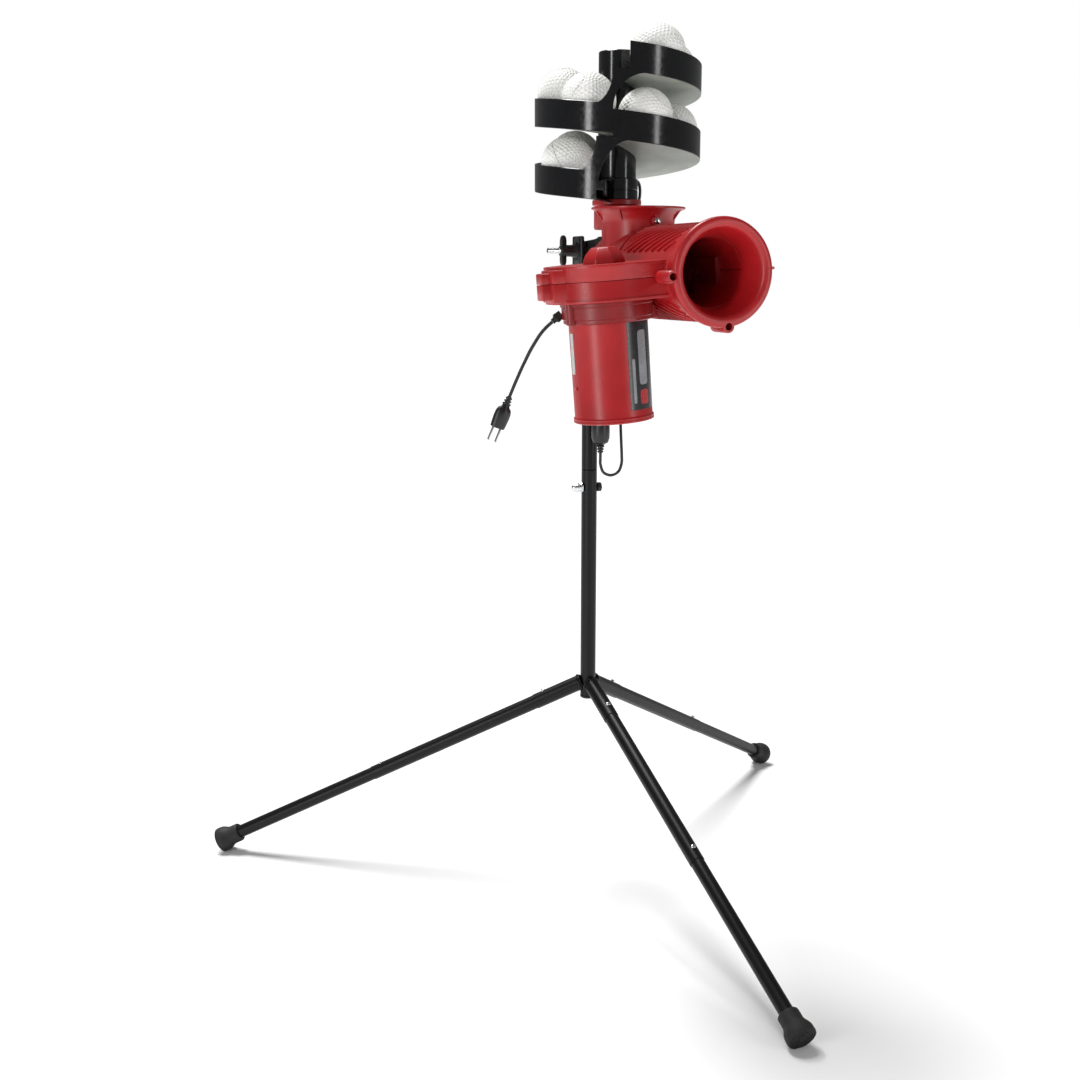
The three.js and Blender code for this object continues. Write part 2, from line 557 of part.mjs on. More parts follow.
function muzzle() {
  const back = -SHELL_FRONT_Y + GAP;
  const front = -MUZZLE_Y;
  const cone = solid(alongY(turned([
    [BORE_R, back], [BARREL_R, back], [BARREL_R + 1.5, front - 16], [MUZZLE_R, front - 9], [MUZZLE_R, front - 4],
    [MUZZLE_R - 2.5, front - 1], [MUZZLE_R - 6, front], [MUZZLE_R - 10, front - 1], [49, front - 6], [BORE_R, back + 8],
  ], BORE_SIDES)));
  const tabs = BOSSES.map(([x, z]) => solid(alongY(rod(BOSS_R, back + 0.5, front - 1, FIN_SIDES), x, z)));
  const nub = solid(block([MUZZLE_R - 2, MUZZLE_R + 2.5], [-front + 2, -back - 1], [-1.6, 1.6]));
  const bore = solid(alongY(turned([[0, back - 1], [BORE_R, back - 1], [BORE_R, back + 8], [49, front - 6],
    [54, front + 1], [0, front + 1]], BORE_SIDES)));
  const holes = BOSSES.map(([x, z]) => solid(alongY(rod(4.6, back + 9, front + 1, 12), x, z)));
  const pins = BOSSES.map(([x, z]) => solid(alongY(rod(2.4, back - 1, front, 10), x, z)));
  piece('muzzle', cut(join(cone, ...tabs, nub), bore, ...holes, ...pins), MATERIAL.red, head);
  BOSSES.forEach(([x, z], i) => {
    const screw = turned([
      [0, back + 0.8], [2, back + 0.8], [2, back + 9.4], [4, back + 9.4], [4, back + 12.4], [0, back + 12.4],
    ], 10);
    piece(`muzzle_screw_${i + 1}`, alongY(screw, x, z), MATERIAL.steel, head);
  });
}

function wheelAndMotor() {
  const caseLow = CASE_MID - CASE_HALF;
  const hub = join(
    solid(turned([
      [0, CASE_MID - 12], [WHEEL_R - 11.3, CASE_MID - 12], [WHEEL_R - 11.3, CASE_MID + 12],
      [WHEEL_R - 15, CASE_MID + 12],
      [WHEEL_R - 15, CASE_MID + 3], [14, CASE_MID + 3], [14, CASE_MID + 13], [0, CASE_MID + 13],
    ], BORE_SIDES, WHEEL_X, WHEEL_Y)),
    solid(rod(4, caseLow - 40, CASE_MID + CASE_HALF + 11, 12, WHEEL_X, WHEEL_Y)),
  );
  piece('flywheel_hub', hub, MATERIAL.steel, head);
  piece('flywheel_tyre', turned([
    [WHEEL_R - 11, CASE_MID - 15], [WHEEL_R - 3, CASE_MID - 15], [WHEEL_R, CASE_MID - 10], [WHEEL_R, CASE_MID + 10],
    [WHEEL_R - 3, CASE_MID + 15], [WHEEL_R - 11, CASE_MID + 15],
  ], BORE_SIDES, WHEEL_X, WHEEL_Y), MATERIAL.tyre, head);

  const top = caseLow - GAP;
  const ring = solid(rod(COLLAR_R, COLLAR_LOW, top, BORE_SIDES, WHEEL_X, WHEEL_Y));
  const posts = [-1, 1].map((side) =>
    solid(rod(6.5, COLLAR_LOW, top, 12, WHEEL_X + side * (COLLAR_R - 3), WHEEL_Y - 14)));
  const canRoom = solid(rod(MOTOR_R + GAP, COLLAR_LOW - 1, top - 3, BORE_SIDES, WHEEL_X, WHEEL_Y));
  const barrelRoom = solid(alongY(rod(BARREL_R + 0.6, 150, 330, ROUND)));
  const shaftRoom = solid(rod(5.2, MOTOR_LOW, top + 1, FIN_SIDES, WHEEL_X, WHEEL_Y));
  piece('motor_collar', cut(join(ring, ...posts), canRoom, barrelRoom, shaftRoom), MATERIAL.darkRed, head);

  const canTop = top - 3 - GAP;
  const can = cut(
    solid(turned([
      [0, MOTOR_LOW], [MOTOR_R + 1.6, MOTOR_LOW], [MOTOR_R + 1.6, MOTOR_LOW + 4], [MOTOR_R, MOTOR_LOW + 6],
      [MOTOR_R, canTop], [0, canTop],
    ], BORE_SIDES, WHEEL_X, WHEEL_Y)),
    solid(rod(MOTOR_R - 2.2, MOTOR_LOW + 3, canTop + 1, BORE_SIDES, WHEEL_X, WHEEL_Y)),
    ...[-1, 1].map((side) => solid(rod(2.6, MOTOR_LOW - 1, MOTOR_LOW + 4, 10, WHEEL_X + side * 20, WHEEL_Y))),
  );
  piece('motor_can', can, MATERIAL.red, head);
  const core = cut(solid(rod(40, MOTOR_LOW + 3 + GAP, canTop - 14, BORE_SIDES, WHEEL_X, WHEEL_Y)),
    solid(rod(4.6, caseLow - 44, canTop, 12, WHEEL_X, WHEEL_Y)));
  piece('motor_core', core, MATERIAL.steel, head);
  [-1, 1].forEach((side, i) => {
    const nut = turned([[0, MOTOR_LOW - 5], [4.5, MOTOR_LOW - 5], [4.5, MOTOR_LOW - GAP], [2.2, MOTOR_LOW - GAP],
      [2.2, MOTOR_LOW + 2.8], [0, MOTOR_LOW + 2.8]], 6, WHEEL_X + side * 20, WHEEL_Y);
    piece(`motor_nut_${i + 1}`, nut, MATERIAL.steel, head);
  });
}

// ---------------------------------------------------------------- leads
const CORD_SIDES = 8;
const PIGTAIL_R = 2.1;
const PIGTAIL = [
  [-137.7, -216.3, 820], [-144.5, -213.6, 813.5], [-151, -211, 805.5], [-156.2, -208.9, 797], [-162.3, -206.4, 786],
  [-167.7, -204.2, 774.5], [-172.8, -202.1, 763], [-177.8, -200.1, 751], [-182.6, -198.2, 739], [-186.6, -196.6, 728.5],
];
const LEAD_R = 2.1;
const LEAD = [
  [3, -34, 630], [3, -34, 622], [3.2, -34, 614], [7.9, -34, 602.6], [19.3, -34, 597.9], [30.7, -34, 602.6],
  [35.4, -34, 614], [36, -33, 626], [36, -30, 650], [35.5, -26, 695], [35, -22, 740], [34.5, -18, 785],
  [34.5, -14, 830], [36, -11, 870], [40.5, -9, 900], [48, -8.5, 925], [56, -13, 948],
  [60.5, -21, 968], [61, -27, 980], [59.9, -31, 990], [57.6, -33.6, 997.2], [54.5, -34.6, 1002],
];

// Turns a piece drawn down its own axis so that it hangs from one point towards another.
function hang(geometry, from, to) {
  const way = new THREE.Vector3(...to).sub(new THREE.Vector3(...from)).normalize();
  const turn = new THREE.Quaternion().setFromUnitVectors(new THREE.Vector3(0, 0, -1), way);
  return geometry.applyQuaternion(turn).translate(...from);
}

function leads() {
  const [first, second] = PIGTAIL;
  const gland = turned([[0, 9.5], [5.5, 9.5], [5.5, 5.5], [3.6, 5], [3, GAP], [0, GAP]], 14);
  const last = PIGTAIL[PIGTAIL.length - 1];
  const before = PIGTAIL[PIGTAIL.length - 2];
  const beyond = last.map((v, i) => 2 * v - before[i]);
  piece('cord_gland', hang(gland, first, second), MATERIAL.rubber);
  piece('pigtail', cord(PIGTAIL, PIGTAIL_R, CORD_SIDES, 14), MATERIAL.rubber);
  const body = turned([[0, -GAP], [3.4, -GAP], [4.2, -12], [9, -16], [10.5, -24], [9.5, -42], [0, -42]], 14);
  const blades = [-1, 1].map((side) => solid(block([side * 5 - 0.8, side * 5 + 0.8], [-3.2, 3.2], [-60, -41])));
  const plug = blades.reduce((sum, next) => sum.add(next), solid(body));
  piece('pigtail_plug', hang(geometryOf(plug), last, beyond), MATERIAL.rubber);

  const [x, y, z] = LEAD[0];
  const inlet = turned([
    [0, GAP], [3.2, GAP], [5, 12], [11, 14], [13, 24], [13, SOCKET_LOW - z - GAP], [0, SOCKET_LOW - z - GAP],
  ], 16);
  piece('lead_plug', inlet.translate(x, y, z), MATERIAL.rubber);
  piece('feeder_lead', cord(LEAD, LEAD_R, CORD_SIDES, 34), MATERIAL.rubber);
}

mast();
[270 + LEG_TURN, 30 + LEG_TURN, 150 + LEG_TURN].forEach((azimuth, i) => leg(i + 1, azimuth));
clamp();
wingKnob();
feedTee();
tiltLug();
spiralTier(0);
spiralTier(1);
balls();
neckAndGate();
headShells();
muzzle();
wheelAndMotor();
leads();

// The floor's origin: under the middle of everything but the cords and what is on them.
const LOOSE = ['pigtail', 'pigtail_plug', 'feeder_lead', 'lead_plug'];
machine.updateMatrixWorld(true);
const bounds = new THREE.Box3();
machine.traverse((o) => {
  if (o.isMesh && !LOOSE.includes(o.name)) bounds.expandByObject(o, true);
});
const middle = bounds.getCenter(new THREE.Vector3());
afloat.position.set(-middle.x, -middle.y, -bounds.min.z);

export default machine;
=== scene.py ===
"""A light ball-pitching machine on a tripod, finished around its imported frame."""
import math
import random

import bpy
from mathutils import Matrix, Vector
from mathutils.kdtree import KDTree


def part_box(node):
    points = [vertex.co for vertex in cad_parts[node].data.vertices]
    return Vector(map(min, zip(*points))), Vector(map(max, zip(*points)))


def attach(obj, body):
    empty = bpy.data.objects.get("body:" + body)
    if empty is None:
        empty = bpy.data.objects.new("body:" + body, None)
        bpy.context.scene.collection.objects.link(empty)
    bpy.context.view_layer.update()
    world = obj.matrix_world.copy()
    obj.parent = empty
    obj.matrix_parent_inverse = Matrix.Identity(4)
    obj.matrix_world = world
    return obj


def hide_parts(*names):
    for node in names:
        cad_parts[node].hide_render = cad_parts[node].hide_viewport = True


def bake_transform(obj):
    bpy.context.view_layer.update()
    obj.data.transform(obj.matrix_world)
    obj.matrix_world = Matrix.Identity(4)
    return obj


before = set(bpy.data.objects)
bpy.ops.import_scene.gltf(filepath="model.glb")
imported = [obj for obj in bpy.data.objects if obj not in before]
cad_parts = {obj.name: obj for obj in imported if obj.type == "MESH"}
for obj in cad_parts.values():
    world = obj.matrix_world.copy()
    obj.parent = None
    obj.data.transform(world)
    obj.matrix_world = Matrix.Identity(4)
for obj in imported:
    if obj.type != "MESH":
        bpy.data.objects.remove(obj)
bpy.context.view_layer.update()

MM = 0.001
rad = math.radians
dice = random.Random(7)

# ------------------------------------------------------------ places, in millimetres about the mast's foot
mast_low, mast_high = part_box("mast_lower")
MAST = Vector(((mast_low.x + mast_high.x) / 2, (mast_low.y + mast_high.y) / 2, 0))
WORLD = Matrix.Translation(MAST) @ Matrix.Scale(MM, 4)

LEG_SLOPE = 26
LEG_AZIMUTHS = (274, 34, 154)
FOOT_R = 18.7
FOOT_START = 597
FOOT_END = 632.5
HUB_Z = (FOOT_END - 1.5) * math.sin(rad(LEG_SLOPE)) + FOOT_R * math.cos(rad(LEG_SLOPE)) - 1.2
STUB_END = 86.6
MID_END = 361.6
MAST_WALL = 0.8
MAST_JOINT_Z = 603
MAST_TOP_Z = 886
MAST_BOLT_Z = 577
SNAP_BACK = 18                   # from a snap button to the end of the outer tube
TILT_Z = 909
BARREL_X = 24.5
BARREL_Z = 880
HEAD_ROLL = -4.5
WHEEL_X = -102.5
WHEEL_Y = -240
CASE_R = 72.5
CASE_LOW = -25
CASE_HIGH = 19
MOTOR_LOW = -173
CHUTE_Y = -106
SCREW_Z = 945
FEEDER_Y = -33
TIER_START = (-15, -26)
TIER_SPAN = 349
TIER_PITCH = 83
TIER_TOP = 1131
RAMP = 78.5 / 360

HEAD = WORLD @ Matrix.Translation((BARREL_X, 0, BARREL_Z)) @ Matrix.Rotation(rad(HEAD_ROLL), 4, "Y")
FEEDER = WORLD @ Matrix.Translation((BARREL_X, FEEDER_Y, 0))
ALONG_X = Matrix.Rotation(rad(90), 4, "Y")
ALONG_Y = Matrix.Rotation(rad(90), 4, "X")


def leg_place(azimuth):
    hub = Matrix.Translation((0, 0, HUB_Z))
    return WORLD @ hub @ Matrix.Rotation(rad(azimuth), 4, "Z") @ Matrix.Rotation(rad(LEG_SLOPE), 4, "Y")


def at(x, y, z):
    return MAST + Vector((x, y, z)) * MM


# ------------------------------------------------------------ camera
view = bpy.data.cameras.new("camera")
view.lens = 47.14
view.sensor_width = 36
camera = bpy.data.objects.new("camera", view)
camera.location = at(-752.4, -1862.2, 881.2)
camera.rotation_euler = (rad(79.242), 0, rad(-19.989))
bpy.context.scene.collection.objects.link(camera)
bpy.context.scene.camera = camera


# ------------------------------------------------------------ materials
def linear(code):
    values = [int(code[i:i + 2], 16) / 255 for i in (1, 3, 5)]
    return [v / 12.92 if v <= 0.04045 else ((v + 0.055) / 1.055) ** 2.4 for v in values] + [1]


def add(tree, kind, inputs=None, **settings):
    """Adds a node with its settings; an input is a value or the socket that feeds it."""
    made = tree.nodes.new(kind)
    for name, value in settings.items():
        setattr(made, name, value)
    for name, value in (inputs or {}).items():
        if isinstance(value, bpy.types.NodeSocket):
            tree.links.new(value, made.inputs[name])
        else:
            made.inputs[name].default_value = value
    return made


def surface(name, light, dark, patch_mm, grain_mm, rough, bump_mm, **shader):
    """Two near tones in soft patches, with a grain that breaks up the gloss and stands up by bump_mm."""
    made = bpy.data.materials.new(name)
    made.use_nodes = True
    tree = made.node_tree
    tree.nodes.clear()
    place = add(tree, "ShaderNodeTexCoord").outputs["Object"]
    patch = add(tree, "ShaderNodeTexNoise", {"Vector": place, "Scale": 1 / (patch_mm * MM), "Detail": 3})
    grain = add(tree, "ShaderNodeTexNoise", {"Vector": place, "Scale": 1 / (grain_mm * MM), "Detail": 4})
    tone = add(tree, "ShaderNodeValToRGB", {"Fac": patch.outputs["Fac"]})
    tone.color_ramp.elements[0].position = 0.35
    tone.color_ramp.elements[0].color = linear(dark)
    tone.color_ramp.elements[1].position = 0.65
    tone.color_ramp.elements[1].color = linear(light)
    gloss = add(tree, "ShaderNodeMapRange", {
        "Value": grain.outputs["Fac"], "From Min": 0.3, "From Max": 0.7,
        "To Min": rough[0], "To Max": rough[1],
    })
    relief = add(tree, "ShaderNodeBump", {
        "Height": grain.outputs["Fac"], "Strength": 0.6, "Distance": bump_mm * MM,
    })
    skin = add(tree, "ShaderNodeBsdfPrincipled", {
        "Base Color": tone.outputs["Color"], "Roughness": gloss.outputs["Result"],
        "Normal": relief.outputs["Normal"], **shader,
    })
    add(tree, "ShaderNodeOutputMaterial", {"Surface": skin.outputs["BSDF"]})
    return made


PLASTIC_IOR = 1.5
# injection-moulded ABS: flow marks give slow patches, and the sprayed tool gives a fine satin grain
RED = surface("moulded_red_abs", "#B01A1F", "#A2161B", 38, 1.6, (0.28, 0.4), 0.03, IOR=PLASTIC_IOR)
# a darker copy of the red plastic with painted shade, for the collar in the shade under the housing and the
# pad inside the barrel
PAINTED_SHADE_RED = surface("red_abs_with_painted_shade", "#8C1217", "#7A0F14", 30, 1.6, (0.3, 0.4), 0.02, IOR=PLASTIC_IOR)
# a polished tool: clear reflections with faint smudges from handling
GLOSS_BLACK = surface("polished_black_abs", "#0F1013", "#0A0B0D", 26, 5, (0.1, 0.2), 0.02, IOR=PLASTIC_IOR)
# the tray floors' downward faces take this lighter grey: light bounced up from the white floor, painted into
# the colour; the matt roughness is the real finish
PAINTED_BOUNCE_GREY = surface("matt_tray_underside_painted_bounce_light", "#949990", "#838880", 34, 1.4, (0.4, 0.55), 0.04, IOR=PLASTIC_IOR)
# powder coat on steel tube: slight orange peel, dark with a green cast
POWDER = surface("satin_black_powder_coat", "#080A09", "#050605", 45, 2.2, (0.32, 0.42), 0.05, IOR=1.34)
CLAMP_PAINT = surface("black_clamp_paint", "#1D1E20", "#151617", 20, 1.8, (0.3, 0.45), 0.06, IOR=PLASTIC_IOR)
# vulcanised rubber: dull, a little dusty
RUBBER = surface("matt_black_rubber", "#1C1D1C", "#131413", 12, 1.2, (0.6, 0.8), 0.08, IOR=PLASTIC_IOR)
KNOB = surface("moulded_black_nylon", "#1D1E1F", "#151516", 15, 1.3, (0.35, 0.5), 0.06, IOR=PLASTIC_IOR)
VINYL = surface("extruded_black_vinyl", "#151617", "#0F1010", 10, 1.1, (0.3, 0.42), 0.04, IOR=PLASTIC_IOR)
# bright plating shows fine polishing haze
CHROME = surface("bright_chrome_plate", "#D8DADC", "#C8CACC", 8, 0.9, (0.06, 0.16), 0.01, Metallic=1.0)
ZINC = surface("zinc_plated_steel", "#9A9CA0", "#85878B", 7, 0.8, (0.28, 0.42), 0.03, Metallic=1.0)
BLADE = surface("nickel_plated_blade", "#E0E1DE", "#CDCECB", 6, 0.8, (0.2, 0.34), 0.02, Metallic=1.0)
# soft polyethylene practice ball, scuffed to a warm white
BALL = surface("dimpled_white_polymer", "#FFFFFC", "#F5F5F0", 18, 1.5, (0.38, 0.52), 0.02, IOR=PLASTIC_IOR)
SEAM = surface("ball_seam_grey", "#DDDCD6", "#CBCAC4", 5, 1.0, (0.5, 0.6), 0.04, IOR=PLASTIC_IOR)
TYRE = surface("soft_grey_urethane", "#3B3B3D", "#303032", 14, 1.2, (0.65, 0.82), 0.1, IOR=PLASTIC_IOR)
# printed vinyl labels, plain and without words
LABEL = surface("black_vinyl_label", "#1B1C1F", "#141517", 30, 2, (0.18, 0.28), 0.01, IOR=PLASTIC_IOR)
LABEL_GREY = surface("grey_label_band", "#8D9093", "#7F8285", 20, 2, (0.24, 0.34), 0.01, IOR=PLASTIC_IOR)
LABEL_RED = surface("red_label_band", "#B3262C", "#A51F25", 20, 2, (0.24, 0.34), 0.01, IOR=PLASTIC_IOR)
LABEL_PALE = surface("pale_foil_label", "#C6C8C7", "#B2B4B3", 9, 1.5, (0.3, 0.42), 0.01, IOR=PLASTIC_IOR)


# ------------------------------------------------------------ making pieces
def alone(piece):
    bpy.ops.object.select_all(action="DESELECT")
    piece.select_set(True)
    bpy.context.view_layer.objects.active = piece


def apply_modifier(piece, kind, **settings):
    alone(piece)
    modifier = piece.modifiers.new(kind.lower(), kind)
    for name, value in settings.items():
        setattr(modifier, name, value)
    bpy.ops.object.modifier_apply(modifier=modifier.name)


def drawn(name, points, edges, faces=()):
    mesh = bpy.data.meshes.new(name)
    mesh.from_pydata(points, edges, faces)
    piece = bpy.data.objects.new(name, mesh)
    bpy.context.scene.collection.objects.link(piece)
    return piece


def sealed(piece):
    alone(piece)
    bpy.ops.object.mode_set(mode="EDIT")
    bpy.ops.mesh.select_all(action="SELECT")
    bpy.ops.mesh.remove_doubles(threshold=0.001)
    bpy.ops.mesh.normals_make_consistent(inside=False)
    bpy.ops.object.mode_set(mode="OBJECT")
    return piece


def turned(name, profile, sides=64, turn=None):
    """A profile of (radius, height) spun about Z; one that ends off the axis is closed into a ring."""
    points = [(r, 0, z) for r, z in profile]
    edges = [(i, i + 1) for i in range(len(points) - 1)]
    if profile[0][0] > 0 or profile[-1][0] > 0:
        edges.append((len(points) - 1, 0))
    piece = drawn(name, points, edges)
    alone(piece)
    bpy.ops.object.mode_set(mode="EDIT")
    bpy.ops.mesh.select_all(action="SELECT")
    bpy.ops.mesh.spin(steps=sides, angle=math.tau, center=(0, 0, 0), axis=(0, 0, 1))
    bpy.ops.object.mode_set(mode="OBJECT")
    sealed(piece)
    if turn is not None:
        piece.data.transform(turn)
    return piece


def slab(name, outline, low, high):
    """A flat outline drawn up into a block."""
    piece = drawn(name, [(x, y, low) for x, y in outline], [], [list(range(len(outline)))])
    alone(piece)
    bpy.ops.object.mode_set(mode="EDIT")
    bpy.ops.mesh.select_all(action="SELECT")
    bpy.ops.mesh.extrude_region_move(TRANSFORM_OT_translate={"value": (0, 0, high - low)})
    bpy.ops.object.mode_set(mode="OBJECT")
    return sealed(piece)


def brick(name, x, y, z):
    return slab(name, [(x[0], y[0]), (x[1], y[0]), (x[1], y[1]), (x[0], y[1])], z[0], z[1])


def combine(piece, others, operation="UNION"):
    for other in others:
        apply_modifier(piece, "BOOLEAN", operation=operation, solver="EXACT", object=other)
        bpy.data.objects.remove(other)
    return piece


def joined(piece, others):
    alone(piece)
    for other in others:
        other.select_set(True)
    bpy.ops.object.join()
    return piece


def from_cad(node, bevel_mm):
    """A copy of a CAD node with its seams merged and its edges eased."""
    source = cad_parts[node]
    piece = bpy.data.objects.new(node + "_eased", source.data.copy())
    bpy.context.scene.collection.objects.link(piece)
    alone(piece)
    bpy.ops.object.mode_set(mode="EDIT")
    bpy.ops.mesh.select_all(action="SELECT")
    bpy.ops.mesh.remove_doubles(threshold=0.00002)
    bpy.ops.mesh.dissolve_limited(angle_limit=rad(1))
    bpy.ops.object.mode_set(mode="OBJECT")
    apply_modifier(piece, "BEVEL", width=bevel_mm * MM, segments=2, angle_limit=rad(40))
    return piece


def fit(piece, place, body, finish, nodes=(), smooth=32, bevel_mm=0):
    """Sets a finished piece in its place on its body."""
    if bevel_mm:
        apply_modifier(piece, "BEVEL", width=bevel_mm, segments=2, angle_limit=rad(40))
    if place is not None:
        piece.data.transform(place)
    alone(piece)
    bpy.ops.object.shade_smooth_by_angle(angle=rad(smooth))
    if not piece.data.materials:
        piece.data.materials.append(finish)
    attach(piece, body)
    if nodes:
        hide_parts(*nodes)
    return piece


# ------------------------------------------------------------ cords
PIGTAIL = [
    (-137.7, -216.3, 820), (-144.5, -213.6, 813.5), (-151, -211, 805.5), (-156.2, -208.9, 797),
    (-162.3, -206.4, 786), (-167.7, -204.2, 774.5), (-172.8, -202.1, 763), (-177.8, -200.1, 751),
    (-182.6, -198.2, 739), (-186.6, -196.6, 728.5),
]
LEAD = [
    (3, -34, 630), (3, -34, 622), (3.2, -34, 614), (7.9, -34, 602.6), (19.3, -34, 597.9), (30.7, -34, 602.6),
    (35.4, -34, 614), (36, -33, 626), (36, -30, 650), (35.5, -26, 695), (35, -22, 740), (34.5, -18, 785),
    (34.5, -14, 830), (36, -11, 870), (40.5, -9, 900), (48, -8.5, 925), (56, -13, 948), (60.5, -21, 968),
    (61, -27, 980), (59.9, -31, 990), (57.6, -33.6, 997.2), (54.5, -34.6, 1002),
]
PIGTAIL_R = 2.1
LEAD_R = 2.1
STEPS = 8                        # points between two given ones


def smooth_route(points):
    """Points in metres on one smooth curve through the given ones."""
    known = [at(*p) for p in points]
    known = [2 * known[0] - known[1], *known, 2 * known[-1] - known[-2]]
    route = []
    for a, b, c, d in zip(known, known[1:], known[2:], known[3:]):
        for i in range(STEPS):
            t = i / STEPS
            bend = (2 * a - 5 * b + 4 * c - d) * t * t + (3 * b - a - 3 * c + d) * t ** 3
            route.append((2 * b + (c - a) * t + bend) / 2)
    return [*route, known[-2]]


def tube_mesh(name, route, radius):
    spline_data = bpy.data.curves.new(name, "CURVE")
    spline_data.dimensions = "3D"
    spline_data.bevel_depth = radius * MM
    spline_data.bevel_resolution = 4
    spline_data.use_fill_caps = True
    spline = spline_data.splines.new("POLY")
    spline.points.add(len(route) - 1)
    for point, place in zip(spline.points, route):
        point.co = (*place, 1)
    piece = bpy.data.objects.new(name, spline_data)
    bpy.context.scene.collection.objects.link(piece)
    alone(piece)
    bpy.ops.object.convert(target="MESH")
    piece = bpy.context.view_layer.objects.active
    bpy.ops.object.shade_smooth_by_angle(angle=rad(50))
    return piece


def route_length(route):
    return sum((b - a).length for a, b in zip(route, route[1:]))


def pointing(origin, towards):
    """A place whose -Z runs from origin towards a second point, in millimetres."""
    way = (Vector(towards) - Vector(origin)).normalized()
    turn = Vector((0, 0, -1)).rotation_difference(way).to_matrix().to_4x4()
    return WORLD @ Matrix.Translation(origin) @ turn


pigtail_route = smooth_route(PIGTAIL)
lead_route = smooth_route(LEAD)

pigtail = tube_mesh("pigtail_cord", pigtail_route, PIGTAIL_R)
pigtail.data.materials.append(VINYL)
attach(pigtail, "head")
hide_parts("pigtail")

beyond = [2 * b - a for a, b in zip(PIGTAIL[-2], PIGTAIL[-1])]
plug_place = pointing(PIGTAIL[-1], beyond)
plug_body = turned("pigtail_plug_body", [
    (0, -0.3), (3.2, -0.3), (3.2, -1.5), (4.4, -1.8), (4.4, -3.4), (3.3, -3.8), (3.3, -5), (5, -5.4), (5, -7),
    (3.7, -7.4), (3.7, -8.8), (5.8, -9.2), (5.8, -10.8), (4.6, -11.4), (5.6, -14), (8.6, -16.5),
    (10.2, -21), (10.5, -27), (9.9, -37), (9.4, -41.4), (8.6, -42), (0, -42),
], 40)
plug_body.data.transform(Matrix.Diagonal((1, 0.72, 1, 1)))
fit(plug_body, plug_place, "head", VINYL, ["pigtail_plug"])
blades = []
for side in (-1, 1):
    blade = brick(f"blade_{side + 2}", (side * 5 - 0.8, side * 5 + 0.8), (-3.2, 3.2), (-60, -41))
    apply_modifier(blade, "BEVEL", width=0.5, segments=2)
    blades.append(blade)
plug_blades = joined(blades[0], blades[1:])
plug_blades.name = "pigtail_plug_blades"
fit(plug_blades, plug_place, "head", BLADE)
at(*PIGTAIL[0])
route_length(pigtail_route)

lead = tube_mesh("feeder_lead_cord", lead_route, LEAD_R)
lead.data.materials.append(VINYL)
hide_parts("feeder_lead")
lead_plug = turned("lead_plug_body", [
    (0, 0.3), (3, 0.3), (3, 1.2), (4.2, 1.5), (4.2, 3), (3.2, 3.4), (3.2, 4.6), (4.9, 5), (4.9, 6.6),
    (3.6, 7), (3.6, 8.4), (5.6, 8.8), (5.6, 10.4), (4.6, 11), (6.5, 13), (10.8, 15.5), (12.8, 22),
    (13, 30), (12.6, 44), (12, 45.6), (0, 45.6),
], 40)
lead_plug.data.transform(Matrix.Translation(LEAD[0]))
fit(lead_plug, WORLD, "clamp", VINYL, ["lead_plug"])
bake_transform(lead)
at(*LEAD[0])
route_length(lead_route)


# ------------------------------------------------------------ tripod
TUBE_R = 11.1
MID_R = 10.25
END_R = 9.5
STUB_WALL = 0.65
MID_WALL = 0.55
END_WALL = 0.8
FOOT_RINGS = (16.4, 13.2, 10, 6.8)   # outer radii of the grooves under a foot


def tube(name, r, wall, low, high, turn=None):
    """A drawn tube with its cut ends eased."""
    ease = 0.5
    return turned(name, [
        (r - wall, low + ease), (r - wall + ease / 2, low), (r - ease, low), (r, low + ease),
        (r, high - ease), (r - ease, high), (r - wall + ease / 2, high), (r - wall, high - ease),
    ], 48, turn)


lower = tube("mast_lower_tube", TUBE_R, MAST_WALL, HUB_Z - 24, MAST_JOINT_Z)
fit(lower, WORLD, "tripod", POWDER, ["mast_lower"])
upper = tube("mast_upper_tube", TUBE_R, MAST_WALL, MAST_JOINT_Z + 0.3, MAST_TOP_Z)
fit(upper, WORLD, "tripod", POWDER, ["mast_upper"])
plug = turned("mast_end_cap", [
    (0, HUB_Z - 28), (9.5, HUB_Z - 28), (TUBE_R, HUB_Z - 27), (TUBE_R + 0.3, HUB_Z - 24.4),
    (10, HUB_Z - 24.3), (10, HUB_Z - 14), (0, HUB_Z - 14),
], 40)
fit(plug, WORLD, "tripod", RUBBER, ["mast_end_plug"])

